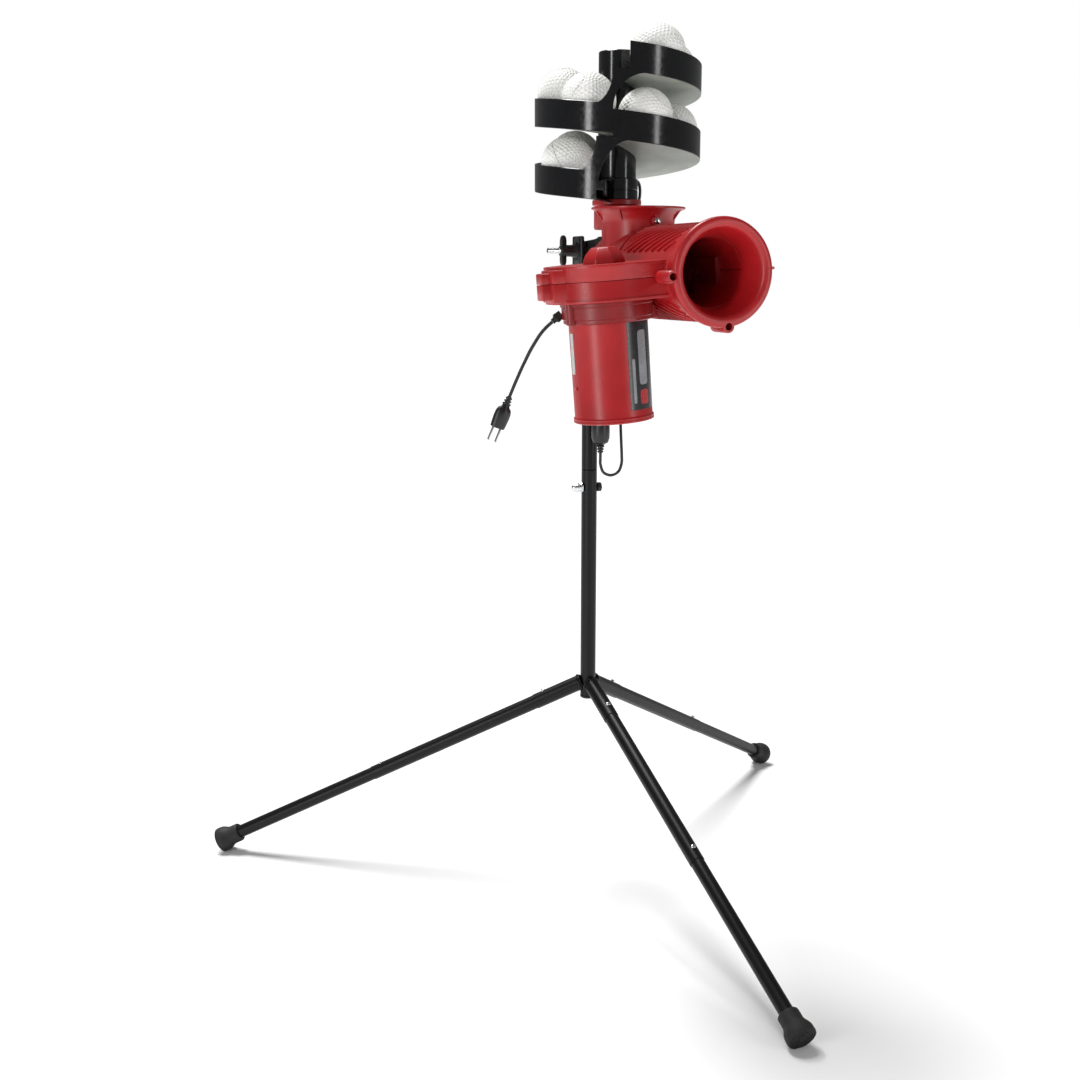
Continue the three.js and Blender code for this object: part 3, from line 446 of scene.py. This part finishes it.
for n, azimuth in enumerate(LEG_AZIMUTHS, 1):
    place = leg_place(azimuth)
    stub = tube(f"leg_stub_{n}_tube", TUBE_R, STUB_WALL, 9.5, STUB_END, ALONG_X)
    fit(stub, place, "tripod", POWDER, [f"leg_stub_{n}"])
    mid = tube(f"leg_mid_{n}_tube", MID_R, MID_WALL, 46, MID_END, ALONG_X)
    fit(mid, place, "tripod", POWDER, [f"leg_mid_{n}"])
    end = tube(f"leg_end_{n}_tube", END_R, END_WALL, MID_END - 40, FOOT_END - 6, ALONG_X)
    fit(end, place, "tripod", POWDER, [f"leg_end_{n}"])

    weld = turned(f"leg_weld_{n}", [
        (TUBE_R - 1, 11), (TUBE_R + 0.6, 11.4), (TUBE_R + 1.5, 12.8), (TUBE_R + 1.1, 14.3), (TUBE_R - 1, 15),
    ], 72, ALONG_X)
    for vertex in weld.data.vertices:
        vertex.co.x += dice.uniform(-0.3, 0.3)
    fit(weld, place, "tripod", POWDER)

    rings = []
    for r in FOOT_RINGS:
        rings += [(r, FOOT_END), (r - 0.5, FOOT_END - 0.8), (r - 1.1, FOOT_END - 0.8), (r - 1.6, FOOT_END)]
    foot = turned(f"foot_{n}_tip", [
        (END_R + 0.2, FOOT_START), (12.8, FOOT_START), (13.5, FOOT_START + 1), (13.8, FOOT_START + 3),
        (13.8, FOOT_START + 13), (14.6, FOOT_START + 16.5), (17.2, FOOT_START + 21.5),
        (18.4, FOOT_START + 25), (FOOT_R, FOOT_START + 28), (FOOT_R, FOOT_END - 2.2),
        (FOOT_R - 0.5, FOOT_END - 0.7), (FOOT_R - 1.5, FOOT_END), *rings,
        (0, FOOT_END), (0, FOOT_END - 5.6), (END_R + 0.2, FOOT_END - 5.6),
    ], 64, ALONG_X)
    foot.data.transform(place)
    for vertex in foot.data.vertices:
        vertex.co.z = max(vertex.co.z, 0)
    fit(foot, None, "tripod", RUBBER, [f"foot_{n}"])

    for i, (x, skin) in enumerate(((STUB_END - SNAP_BACK, TUBE_R), (MID_END - SNAP_BACK, MID_R))):
        number = 2 * n - 1 + i
        button = turned(f"snap_button_{number}_dome", [
            (0, skin - 6), (3, skin - 6), (3, skin + 1.2), (2.7, skin + 2.1), (1.9, skin + 2.7),
            (0, skin + 3),
        ], 28, Matrix.Translation((x, 0, 0)))
        fit(button, place, f"snap_{number}", CHROME, [f"snap_button_{number}"])

nut = turned("acorn_nut_dome", [
    (3.3, 11.4), (8.2, 11.4), (8.6, 11.8), (8.6, 12.7), (8.2, 13.1), (6.8, 13.2), (6.8, 18.6), (6.5, 19.6),
    (5.9, 22), (4.6, 24.7), (2.6, 26.6), (0, 27.1), (0, 19), (3.3, 19),
], 6)
nut.data.transform(Matrix.Translation((0, 0, MAST_BOLT_Z)) @ Matrix.Rotation(rad(-90), 4, "Y"))
fit(nut, WORLD, "tripod", CHROME, ["acorn_nut"], bevel_mm=0.4)
fit(from_cad("mast_bolt", 0.5), None, "tripod", CLAMP_PAINT, ["mast_bolt"])

# ------------------------------------------------------------ clamp and knob
fit(from_cad("clamp_block", 0.8), None, "clamp", CLAMP_PAINT, ["clamp_block"])
fit(from_cad("lead_socket", 1.6), None, "clamp", VINYL, ["lead_socket"])
fit(from_cad("tilt_lug", 0.9), None, "tee", CLAMP_PAINT, ["tilt_lug"])

PLATES = (((-21.4, -15.7), 11.9), ((15.7, 20.4), 4.6))   # each side plate's faces and its hole's radius
PLATE_HALF = 17
PLATE_Z = (887, 929)
GROOVE_Y = (-11, 11)
GROOVE_DEEP = 1.2
plates = []
for x, room in PLATES:
    plate = brick("plate", x, (-PLATE_HALF, PLATE_HALF), PLATE_Z)
    apply_modifier(plate, "BEVEL", width=2.4, segments=3, angle_limit=rad(40))
    hole = turned("hole", [(0, -40), (room, -40), (room, 40), (0, 40)], 40, ALONG_X)
    hole.data.transform(Matrix.Translation((0, 0, TILT_Z)))
    grooves = []
    if x[0] < 0:
        grooves = [brick("groove", (x[0] - 2, x[0] + GROOVE_DEEP), (y - 1.2, y + 1.2), (880, 935))
                   for y in GROOVE_Y]
    plates.append(combine(plate, [hole, *grooves], "DIFFERENCE"))
clamp_plates = joined(plates[0], plates[1:])
clamp_plates.name = "clamp_plates"
fit(clamp_plates, WORLD, "clamp", CLAMP_PAINT)

stud = []
for i in range(16):
    z = -64 + i * 1.15
    stud += [(3.5, z), (4, z + 0.55)]
stud = turned("knob_stud", [(0, -64.6), *stud, (4, -45), (4, 20), (0, 20)], 32, ALONG_X)
stud.data.transform(Matrix.Translation((0, 0, TILT_Z)))
fit(stud, WORLD, "knob", CHROME)
hub = turned("knob_hub", [
    (4.1, -46), (6.4, -46), (7.4, -45), (8, -38), (8, -30), (9, -25), (11, -20.5), (11.2, -17.2),
    (10.6, -16.2), (4.1, -16.2),
], 48, ALONG_X)
wing_shape = []
for i in range(33):
    a = math.tau * i / 32
    pinch = 1 - 0.3 * math.cos(2 * a)
    wing_shape.append((-41 + 5.6 * math.cos(a) * pinch, 21 * math.sin(a)))
wing = slab("knob_wing", wing_shape[:-1], -4, 4)
apply_modifier(wing, "BEVEL", width=1.6, segments=3, angle_limit=rad(40))
wing.data.transform(ALONG_Y)
knob = combine(hub, [wing])
knob.name = "knob_wings"
knob.data.transform(Matrix.Translation((0, 0, TILT_Z)))
fit(knob, WORLD, "knob", KNOB, ["wing_knob"])

# ------------------------------------------------------------ tee
tee = turned("feed_tee_body", [
    (0, 54), (34, 54), (40, 55), (47, 58), (52.5, 62), (56, 67), (57.5, 73), (57.5, 158), (59, 159.5),
    (59, 163), (58, 164), (50, 164), (50, 182), (0, 182),
], 96, Matrix.Translation((BARREL_X, 0, BARREL_Z)) @ ALONG_Y)
chute = turned("chute", [
    (0, 884), (48, 884), (48, 944), (48.6, 949), (51, 954), (55.5, 958.5), (60.5, 961), (62, 961.6),
    (62, 963.4), (61.4, 964), (0, 964),
], 96, Matrix.Translation((BARREL_X, CHUTE_Y, 0)))
shelf = turned("shelf", [
    (0, 937), (30, 937), (31, 940), (31, 968), (33.4, 970), (33.4, 975.6), (32.6, 976.6), (0, 976.6),
], 72, Matrix.Translation((BARREL_X, FEEDER_Y, 0)))
bridge = brick("bridge", (BARREL_X - 22, BARREL_X + 22), (CHUTE_Y, FEEDER_Y), (925, 958))
boss = turned("screw_boss", [(0, 146), (6, 146), (6, 159), (5.2, 160), (0, 160)], 32,
              Matrix.Translation((BARREL_X + 3, 0, SCREW_Z)) @ ALONG_Y)
gussets = []
for turn in (20, 70, 120, 170, 220, 320):
    fin = drawn("gusset", [
        (46, -1, 946), (48.5, -1, 946), (59, -1, 961.4), (46, -1, 961.4),
        (46, 1, 946), (48.5, 1, 946), (59, 1, 961.4), (46, 1, 961.4),
    ], [], [(0, 1, 2, 3), (7, 6, 5, 4), (0, 4, 5, 1), (1, 5, 6, 2), (2, 6, 7, 3), (3, 7, 4, 0)])
    sealed(fin)
    fin.data.transform(Matrix.Translation((BARREL_X, CHUTE_Y, 0)) @ Matrix.Rotation(rad(turn), 4, "Z"))
    gussets.append(fin)
screw_ribs = [brick("rib", (BARREL_X + 1.9, BARREL_X + 4.1), (-156, -148), z)
              for z in ((922, 941), (949, 958))]
combine(tee, [chute, shelf, bridge, boss, *gussets, *screw_ribs])
tee_bore = turned("tee_bore", [(0, 66), (42, 66), (42, 190), (0, 190)], 72,
                  Matrix.Translation((BARREL_X, 0, BARREL_Z)) @ ALONG_Y)
chute_bore = turned("chute_bore", [(0, 882), (44.5, 882), (44.5, 950), (58, 965), (0, 965)], 80,
                    Matrix.Translation((BARREL_X, CHUTE_Y, 0)))
neck_room = turned("neck_room", [(0, 952), (24, 952), (24, 980), (0, 980)], 48,
                   Matrix.Translation((BARREL_X, FEEDER_Y, 0)))
lug_room = brick("lug_room", (-9.5, 9.5), (-58, -20), (882, 931))
combine(tee, [tee_bore, chute_bore, neck_room, lug_room], "DIFFERENCE")
fit(tee, WORLD, "tee", RED, ["feed_tee"], bevel_mm=0.5)
screw = turned("chute_screw_head", [
    (0, 152.4), (2, 152.4), (2, 160.3), (4.2, 160.3), (4.3, 161.6), (3.4, 163), (1.8, 163.7), (0, 163.9),
], 32, Matrix.Translation((BARREL_X + 3, 0, SCREW_Z)) @ ALONG_Y)
fit(screw, WORLD, "tee", CHROME, ["chute_screw"])

# ------------------------------------------------------------ feeder
neck = turned("feeder_neck_ring", [
    (22, 977), (28, 977), (28.5, 977.6), (28.5, 988), (27.9, 988.6), (27.9, 989.6), (28.5, 990.2),
    (28.5, 1003.4), (28, 1004), (22, 1004),
], 72)
fit(neck, FEEDER, "tee", GLOSS_BLACK, ["feeder_neck"])
fit(from_cad("gate_arm", 0.8), None, "gate", GLOSS_BLACK, ["gate_arm"])

TIER_R = 112
TRAY_IN = 25
SKIN = 2.5
WALL_HIGH = 37
EASE = 0.6


def tier_floor(tier, a):
    return TIER_TOP - tier * TIER_PITCH - RAMP * (a - TIER_START[tier])


def around(r, degrees, z):
    return (r * math.sin(rad(degrees)), -r * math.cos(rad(degrees)), z)


def lofted(name, rings):
    """Faces between rows of matching points, with both ends closed."""
    n = len(rings[0])
    points = [p for ring in rings for p in ring]
    faces = [tuple(range(n))[::-1], tuple((len(rings) - 1) * n + i for i in range(n))]
    for s in range(len(rings) - 1):
        for i in range(n):
            j = (i + 1) % n
            faces.append((s * n + i, s * n + j, (s + 1) * n + j, (s + 1) * n + i))
    return sealed(drawn(name, points, [], faces))


WEB_BEFORE = 25                  # degrees of web before a ramp's start, and after it
WEB_AFTER = 12
WEB_DROP = (6, 35)               # how far each web reaches below the end wall's top
WEB_STEPS = 60
NECK_TOP = 1004.3
for tier in (0, 1):
    start = TIER_START[tier]
    end = start + TIER_SPAN
    seam = end - 360
    turns = 116
    rings = []
    for i in range(turns + 1):
        a = start + TIER_SPAN * i / turns
        f = tier_floor(tier, a)
        rings.append([around(r, a, z) for r, z in (
            (TRAY_IN, f), (TIER_R - EASE, f), (TIER_R, f + EASE), (TIER_R, f + WALL_HIGH - EASE),
            (TIER_R - EASE, f + WALL_HIGH), (TIER_R - SKIN + EASE, f + WALL_HIGH),
            (TIER_R - SKIN, f + WALL_HIGH - EASE), (TIER_R - SKIN, f + SKIN + 3),
            (TIER_R - SKIN - 1, f + SKIN + 0.8), (TIER_R - SKIN - 3.4, f + SKIN), (TRAY_IN, f + SKIN),
        )])
    tray = lofted(f"feeder_tier_{tier + 1}_tray", rings)

    end_top = tier_floor(tier, seam + 360) + WALL_HIGH
    left, right = start - WEB_BEFORE, start + WEB_AFTER
    web_top = tier_floor(tier, start) + 4
    web_low = end_top - WEB_DROP[tier]
    web_rings = []
    for i in range(WEB_STEPS + 1):
        a = left + (seam - left) * i / WEB_STEPS
        t = (a - left) / (seam - left)
        low = end_top + RAMP * (seam - a) - 5
        high = end_top + (web_top - end_top) * (1 - math.sqrt(max(0, 1 - t * t)))
        web_rings.append((a, low, max(high, low + 0.6)))
    for i in range(1, WEB_STEPS + 1):
        a = seam + (right - seam) * i / WEB_STEPS
        t = (a - seam) / (right - seam)
        foot_z = tier_floor(tier, right) + 0.8
        low = web_low + (foot_z - web_low) * math.sqrt(max(0, 1 - (1 - t) ** 2))
        high = web_top if a < start else tier_floor(tier, a) + 3
        web_rings.append((a, min(low, high - 0.6), high))
    web = lofted("web", [
        [around(r, a, z) for r, z in ((109.7, low), (111.8, low), (111.8, high), (109.7, high))]
        for a, low, high in web_rings
    ])
    sleeve_top = NECK_TOP + (2 - tier) * TIER_PITCH
    sleeve_low = sleeve_top - TIER_PITCH + 0.3
    sleeve = turned("sleeve", [
        (22.5, sleeve_low), (25.6, sleeve_low), (26, sleeve_low + 0.5), (26, sleeve_top - 0.9),
        (25.5, sleeve_top - 0.3), (23.2, sleeve_top - 0.3), (22.5, sleeve_top - 0.9),
    ], 80) if tier else turned("sleeve", [
        (22.5, sleeve_low), (25.6, sleeve_low), (26, sleeve_low + 0.5), (26, sleeve_top - 1.2),
        (25, sleeve_top - 0.3), (0, sleeve_top - 0.3), (0, sleeve_top - 4), (22.5, sleeve_top - 4),
    ], 80)
    combine(tray, [web, sleeve])
    tray.data.materials.append(GLOSS_BLACK)
    tray.data.materials.append(PAINTED_BOUNCE_GREY)
    # downward faces of each tray floor take the grey with painted light bounced up from the floor
    for face in tray.data.polygons:
        reach = math.hypot(face.center.x, face.center.y)
        painted_bounce_face = face.normal.z < -0.8 and 27 < reach < TIER_R - 1
        face.material_index = 1 if painted_bounce_face else 0
    fit(tray, FEEDER, "tee", GLOSS_BLACK, [f"feeder_tier_{tier + 1}"], smooth=35)

# ------------------------------------------------------------ balls
BALL_R = 36.5
SEAM_STEPS = 160
DIMPLE_REACH = 0.012             # a face this near a first vertex, on a ball of radius 1, is a dimple


def dimpled_ball():
    """A ball covered in shallow round dimples, with a raised seam."""
    bpy.ops.object.select_all(action="DESELECT")
    bpy.ops.mesh.primitive_ico_sphere_add(subdivisions=4, radius=BALL_R)
    ball = bpy.context.view_layer.objects.active
    middles = [v.co.normalized() for v in ball.data.vertices]
    bpy.ops.object.mode_set(mode="EDIT")
    bpy.ops.mesh.select_mode(type="VERT")
    bpy.ops.mesh.select_all(action="SELECT")
    bpy.ops.mesh.bevel(offset_type="PERCENT", offset_pct=42, affect="VERTICES", segments=1)
    bpy.ops.mesh.select_mode(type="FACE")
    bpy.ops.mesh.select_all(action="DESELECT")
    bpy.ops.object.mode_set(mode="OBJECT")
    corners = KDTree(len(middles))
    for i, middle in enumerate(middles):
        corners.insert(middle, i)
    corners.balance()
    for face in ball.data.polygons:
        face.select = corners.find(face.center.normalized())[2] < DIMPLE_REACH
    bpy.ops.object.mode_set(mode="EDIT")
    bpy.ops.mesh.inset(thickness=0.45, depth=-0.9, use_individual=True)
    bpy.ops.object.mode_set(mode="OBJECT")
    apply_modifier(ball, "SUBSURF", levels=1, render_levels=1)
    ball.data.materials.append(BALL)
    ball.data.materials.append(SEAM)
    lean = 0.44                  # how far the seam's loops stay from the ball's poles, in radians
    seam_points = []
    for i in range(SEAM_STEPS):
        t = math.tau * i / SEAM_STEPS
        tilt = math.pi / 2 - (math.pi / 2 - lean) * math.cos(2 * t)
        turn = t + lean * math.sin(4 * t) / 2
        across, up = math.sin(tilt), math.cos(tilt)
        seam_points.append(Vector((across * math.cos(turn), across * math.sin(turn), up)))
    rings = []
    for i, p in enumerate(seam_points):
        ahead = (seam_points[(i + 1) % SEAM_STEPS] - seam_points[i - 1]).normalized()
        side = p.cross(ahead)
        rings.append([
            p * (BALL_R - 0.9) + side * 1.1, p * (BALL_R + 0.1),
            p * (BALL_R - 0.9) - side * 1.1, p * (BALL_R - 1.6),
        ])
    count = len(rings)
    faces = []
    for s in range(count):
        for i in range(4):
            j = (i + 1) % 4
            following = (s + 1) % count
            faces.append((s * 4 + i, s * 4 + j, following * 4 + j, following * 4 + i))
    seam_piece = sealed(drawn("seam", [q for ring in rings for q in ring], [], faces))
    seam_piece.data.materials.append(BALL)
    seam_piece.data.materials.append(SEAM)
    for face in seam_piece.data.polygons:
        face.material_index = 1
    return joined(ball, [seam_piece])


pattern = dimpled_ball()
for n in range(1, 9):
    low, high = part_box(f"ball_{n}")
    ball = pattern.copy()
    ball.data = pattern.data.copy()
    ball.name = f"ball_{n}_dimpled"
    bpy.context.scene.collection.objects.link(ball)
    spin = Matrix.Rotation(dice.uniform(0, math.tau), 4, "X")
    spin = spin @ Matrix.Rotation(dice.uniform(0, math.tau), 4, "Z")
    place = Matrix.Translation((low + high) / 2) @ Matrix.Scale(MM, 4) @ spin
    fit(ball, place, "tee", BALL, [f"ball_{n}"], smooth=60)
bpy.data.objects.remove(pattern)

# ------------------------------------------------------------ turning head
SHELL_REAR = 164.3
SHELL_FRONT = 320


def casing_outline(r, front, back, inner):
    """The wheel housing seen from above: round on the outside, straight towards the barrel."""
    stop = math.asin((back - WHEEL_Y) / r)
    points = [(inner, front)]
    count = 56
    for i in range(count + 1):
        a = -math.pi / 2 - (math.pi * 3 / 2 - stop) * i / count
        points.append((WHEEL_X + r * math.cos(a), WHEEL_Y + r * math.sin(a)))
    points.append((inner, back))
    return points


outline = casing_outline(CASE_R, WHEEL_Y - CASE_R, WHEEL_Y + 20, -20)
rim_outline = casing_outline(CASE_R + 1.8, WHEEL_Y - CASE_R - 1.8, WHEEL_Y + 21, -20)
shell = turned("head_shell", [
    (42, SHELL_REAR), (55.5, SHELL_REAR), (57.5, SHELL_REAR + 1.5), (57.5, SHELL_FRONT - 0.6),
    (57, SHELL_FRONT), (42, SHELL_FRONT),
], 96, ALONG_Y)
RIM = 3.4
rims = [
    slab("rim", rim_outline, CASE_LOW, CASE_LOW + RIM),
    slab("rim", rim_outline, CASE_HIGH - RIM, CASE_HIGH),
]
fins = [
    brick("fin", (-183, -160), (-274, -234), (-22, 16)),
    brick("fin", (-193, -176), (-262, -242), (-19, 13)),
]
for fin in fins:
    apply_modifier(fin, "BEVEL", width=1.4, segments=2)
dome = turned("dome", [
    (0, CASE_HIGH - 1), (28, CASE_HIGH - 1), (27, CASE_HIGH + 5), (24, CASE_HIGH + 11),
    (16, CASE_HIGH + 19.4), (0, CASE_HIGH + 20),
], 8, Matrix.Translation((WHEEL_X, WHEEL_Y, 0)))
apply_modifier(dome, "BEVEL", width=1.6, segments=3, angle_limit=rad(20))
combine(shell, [slab("casing", outline, CASE_LOW, CASE_HIGH), *rims, *fins, dome])
shell_bore = turned("shell_bore", [
    (0, 160), (50.6, 160), (50.6, 183), (42, 183), (42, 325), (0, 325),
], 80, ALONG_Y)
wheel_room = slab("wheel_room", casing_outline(CASE_R - 2.6, WHEEL_Y - 34, WHEEL_Y + 20, -20), CASE_LOW + 2.6,
                  CASE_HIGH - 2.6)
shaft_room = turned("shaft_room", [(0, MOTOR_LOW), (5.2, MOTOR_LOW), (5.2, 33), (0, 33)], 32,
                    Matrix.Translation((WHEEL_X, WHEEL_Y, 0)))
combine(shell, [shell_bore, wheel_room, shaft_room], "DIFFERENCE")
PARTING = 0.35
for name, side in (("upper", 1), ("lower", -1)):
    half = shell.copy()
    half.data = shell.data.copy()
    half.name = f"head_shell_{name}_half"
    bpy.context.scene.collection.objects.link(half)
    alone(half)
    bpy.ops.object.mode_set(mode="EDIT")
    bpy.ops.mesh.select_all(action="SELECT")
    bpy.ops.mesh.bisect(
        plane_co=(0, 0, side * PARTING), plane_no=(0, 0, side), use_fill=True, clear_inner=True,
    )
    bpy.ops.object.mode_set(mode="OBJECT")
    sealed(half)
    fit(half, HEAD, "head", RED, [f"head_shell_{name}"], bevel_mm=0.5)
bpy.data.objects.remove(shell)

ribs = []
RIB_TWIST = 0.62                  # degrees about the barrel for each millimetre along it
RIB_FIRST = SHELL_REAR + 10
RIB_SPAN = SHELL_FRONT - 2 - RIB_FIRST
for first in range(40, 250, 11):
    for half in (1, -1):
        row = []
        for i in range(41):
            along = RIB_SPAN * i / 40
            a = first - RIB_TWIST * along
            if 24 < a < 150:
                row.append([(r * math.cos(rad(a + w)), -RIB_FIRST - along, half * r * math.sin(rad(a + w)))
                            for r, w in ((56.5, -1.1), (59.4, -0.6), (59.4, 0.6), (56.5, 1.1))])
        if len(row) > 3:
            ribs.append(lofted("rib", row))
barrel_ribs = joined(ribs[0], ribs[1:])
barrel_ribs.name = "barrel_ribs"
fit(barrel_ribs, HEAD, "head", RED)

MUZZLE_BACK = 320.3
BOSS_SPOTS = ((-65.5, 0), (3, -63.5))
muzzle = turned("muzzle_ring", [
    (42, MUZZLE_BACK), (57.5, MUZZLE_BACK), (58.4, 336), (59, 341), (61.5, 345.5), (64, 348), (64.5, 350),
    (64.5, 353), (63.8, 355), (62, 356.5), (59, 357), (55.8, 356.7), (53.4, 355.4), (51.6, 353), (49, 346),
    (46, 338), (43, 329),
], 112, ALONG_Y)
bosses = [turned("boss", [(0, 321), (6.8, 321), (7.5, 322), (7.5, 355), (6.9, 356), (0, 356)], 40,
                 Matrix.Translation((x, 0, z)) @ ALONG_Y) for x, z in BOSS_SPOTS]
nub = brick("nub", (62.5, 67), (-355, -321.5), (-1.6, 1.6))
combine(muzzle, [*bosses, nub])
throat = turned("throat", [
    (0, 319), (42, 319), (43, 329), (46, 338), (49, 346), (51.4, 352.6), (52, 358), (0, 358),
], 112, ALONG_Y)
holes = [turned("hole", [(0, 329), (4.6, 329), (4.6, 358), (0, 358)], 32,
                Matrix.Translation((x, 0, z)) @ ALONG_Y) for x, z in BOSS_SPOTS]
seam_cut = brick("seam_cut", (-70, 64.6), (-357.6, -356.4), (-0.35, 0.35))
combine(muzzle, [throat, *holes, seam_cut], "DIFFERENCE")
fit(muzzle, HEAD, "head", RED, ["muzzle"], bevel_mm=0.35)

WHEEL = Matrix.Translation((WHEEL_X, WHEEL_Y, 0))
collar = turned("motor_collar_ring", [
    (0, -51), (53, -51), (54.5, -50), (54.5, -46), (56, -45), (56, -31), (57.4, -30), (57.4, -26.4),
    (56.6, -25.4), (0, -25.4),
], 96, WHEEL)
posts = [turned("post", [(0, -51), (5.8, -51), (6.5, -50), (6.5, -25.4), (0, -25.4)], 36,
                Matrix.Translation((WHEEL_X + side * 53, WHEEL_Y - 14, 0))) for side in (-1, 1)]
combine(collar, posts)
can_room = turned("can_room", [(0, -52), (48.8, -52), (48.8, -28.3), (0, -28.3)], 96, WHEEL)
barrel_room = turned("barrel_room", [(0, 150), (60.4, 150), (60.4, 330), (0, 330)], 96, ALONG_Y)
combine(collar, [can_room, barrel_room], "DIFFERENCE")
# the collar sits in the shade under the housing and takes the red with painted shade
fit(collar, HEAD, "head", PAINTED_SHADE_RED, ["motor_collar"], bevel_mm=0.3)

can = turned("motor_can_shell", [
    (0, -173), (48.6, -173), (50.1, -172.2), (50.1, -170.6), (49.4, -170), (49.4, -169.4), (50.1, -168.8),
    (50.1, -167.4), (48.9, -166.2), (48.5, -165), (48.5, -29.4), (47.8, -28.6), (46.3, -28.6),
    (46.3, -170), (0, -170),
], 128, WHEEL)
fit(can, HEAD, "head", RED, ["motor_can"])
fit(from_cad("motor_nut_1", 0.5), None, "head", ZINC, ["motor_nut_1"])
fit(from_cad("motor_nut_2", 0.5), None, "head", ZINC, ["motor_nut_2"])


CAN_R = 48.5


def curved_patch(name, from_deg, to_deg, low, high, proud, corner=3):
    """A thin rounded label lying on the can; angles run from the front towards +X."""
    r = CAN_R
    wide = rad(to_deg - from_deg) * r
    flat = []
    for cx, cy, first in ((wide - corner, high - corner, 0), (corner, high - corner, 90),
                          (corner, low + corner, 180), (wide - corner, low + corner, 270)):
        for i in range(7):
            a = rad(first + 15 * i)
            flat.append((cx + corner * math.cos(a), cy + corner * math.sin(a)))
    piece = slab(name, flat, 0, proud)
    alone(piece)
    bpy.ops.object.mode_set(mode="EDIT")
    slices = 24
    for i in range(1, slices):
        bpy.ops.mesh.select_all(action="SELECT")
        bpy.ops.mesh.bisect(plane_co=(wide * i / slices, 0, 0), plane_no=(1, 0, 0))
    bpy.ops.object.mode_set(mode="OBJECT")
    for vertex in piece.data.vertices:
        a = rad(from_deg) + vertex.co.x / r
        reach = r + 0.04 + vertex.co.z
        vertex.co = Vector((reach * math.sin(a), -reach * math.cos(a), vertex.co.y))
    sealed(piece)
    return piece


LABELS = (
    ("label_plain", 4, 64, -158, -50, 0.25, 3, LABEL),
    ("label_band_1", 10, 15, -150, -96, 0.4, 1.5, LABEL_GREY),
    ("label_band_2", 22, 40, -128, -62, 0.4, 4, LABEL_GREY),
    ("label_band_3", 22, 40, -152, -134, 0.4, 4, LABEL_RED),
    ("label_side", -98, -86, -112, -62, 0.25, 1.5, LABEL_PALE),
    ("can_tab", -92, -83, -131, -127, 1.4, 1, RED),
)
for name, first, last, low, high, proud, corner, finish in LABELS:
    patch = curved_patch(name, first, last, low, high, proud, corner)
    fit(patch, HEAD @ WHEEL, "head", finish, smooth=25)

gland_place = pointing(PIGTAIL[0], PIGTAIL[1])
gland = turned("cord_gland_relief", [
    (0, 15), (5.2, 15), (5.6, 9.6), (5.9, 9), (5.9, 6), (5.3, 5.4), (4, 5), (3.9, 3.6), (3.3, 3.4),
    (3.3, 2.2), (3.7, 2), (3.2, 0.3), (0, 0.3),
], 36)
fit(gland, gland_place, "head", RUBBER, ["cord_gland"])

# ------------------------------------------------------------ CAD nodes that stay, with their finishes
# the squeeze pad inside the barrel takes the red with painted shade
STAY = {
    "motor_core": ZINC, "feeder_motor": ZINC, "flywheel_hub": ZINC, "flywheel_tyre": TYRE,
    "squeeze_pad": PAINTED_SHADE_RED, "muzzle_screw_1": ZINC, "muzzle_screw_2": ZINC,
}
for node, finish in STAY.items():
    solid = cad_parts[node]
    solid.data.materials.clear()
    solid.data.materials.append(finish)

# ------------------------------------------------------------ floor, light
bpy.ops.object.select_all(action="DESELECT")
bpy.ops.mesh.primitive_plane_add(size=24, location=(0, 0, 0))
floor = bpy.context.view_layer.objects.active
floor.name = "floor"
floor.data.materials.append(
    surface("pale_studio_floor", "#FAFAFA", "#F9F9F9", 900, 40, (0.75, 0.85), 0.1, IOR=1.3)
)

# the studio's walls are white to look at, and dim enough to leave the blacks black
WALL_GLOW = 0.21
world = bpy.data.worlds.new("studio")
world.use_nodes = True
tree = world.node_tree
tree.nodes.clear()
ray = add(tree, "ShaderNodeLightPath")
strength = add(tree, "ShaderNodeMapRange", {
    "Value": ray.outputs["Is Camera Ray"], "To Min": WALL_GLOW, "To Max": 1.0,
})
sky = add(tree, "ShaderNodeBackground", {"Color": (1, 1, 1, 1), "Strength": strength.outputs["Result"]})
add(tree, "ShaderNodeOutputWorld", {"Surface": sky.outputs["Background"]})
bpy.context.scene.world = world
bpy.context.scene.view_settings.view_transform = "Standard"


def softbox(name, place, aim, wide, high, power):
    data = bpy.data.lights.new(name, "AREA")
    data.shape = "RECTANGLE"
    data.size = wide
    data.size_y = high
    data.energy = power
    light = bpy.data.objects.new(name, data)
    light.location = place
    light.rotation_euler = (Vector(aim) - Vector(place)).to_track_quat("-Z", "Y").to_euler()
    bpy.context.scene.collection.objects.link(light)


# a broad lamp high behind the left shoulder throws the soft shadow forward and to the right
overhead = bpy.data.lights.new("overhead", "SUN")
overhead.energy = 3.5
overhead.angle = rad(24)
overhead_lamp = bpy.data.objects.new("overhead", overhead)
overhead_lamp.rotation_euler = Vector((-0.10, 0.42, 0.95)).to_track_quat("Z", "Y").to_euler()
bpy.context.scene.collection.objects.link(overhead_lamp)
softbox("left_strip", (-2.4, -1.2, 1.2), (0, 0, 0.95), 0.35, 1.9, 22)
softbox("right_strip", (1.5, -2.3, 1.1), (0, 0, 0.95), 0.3, 1.7, 11)
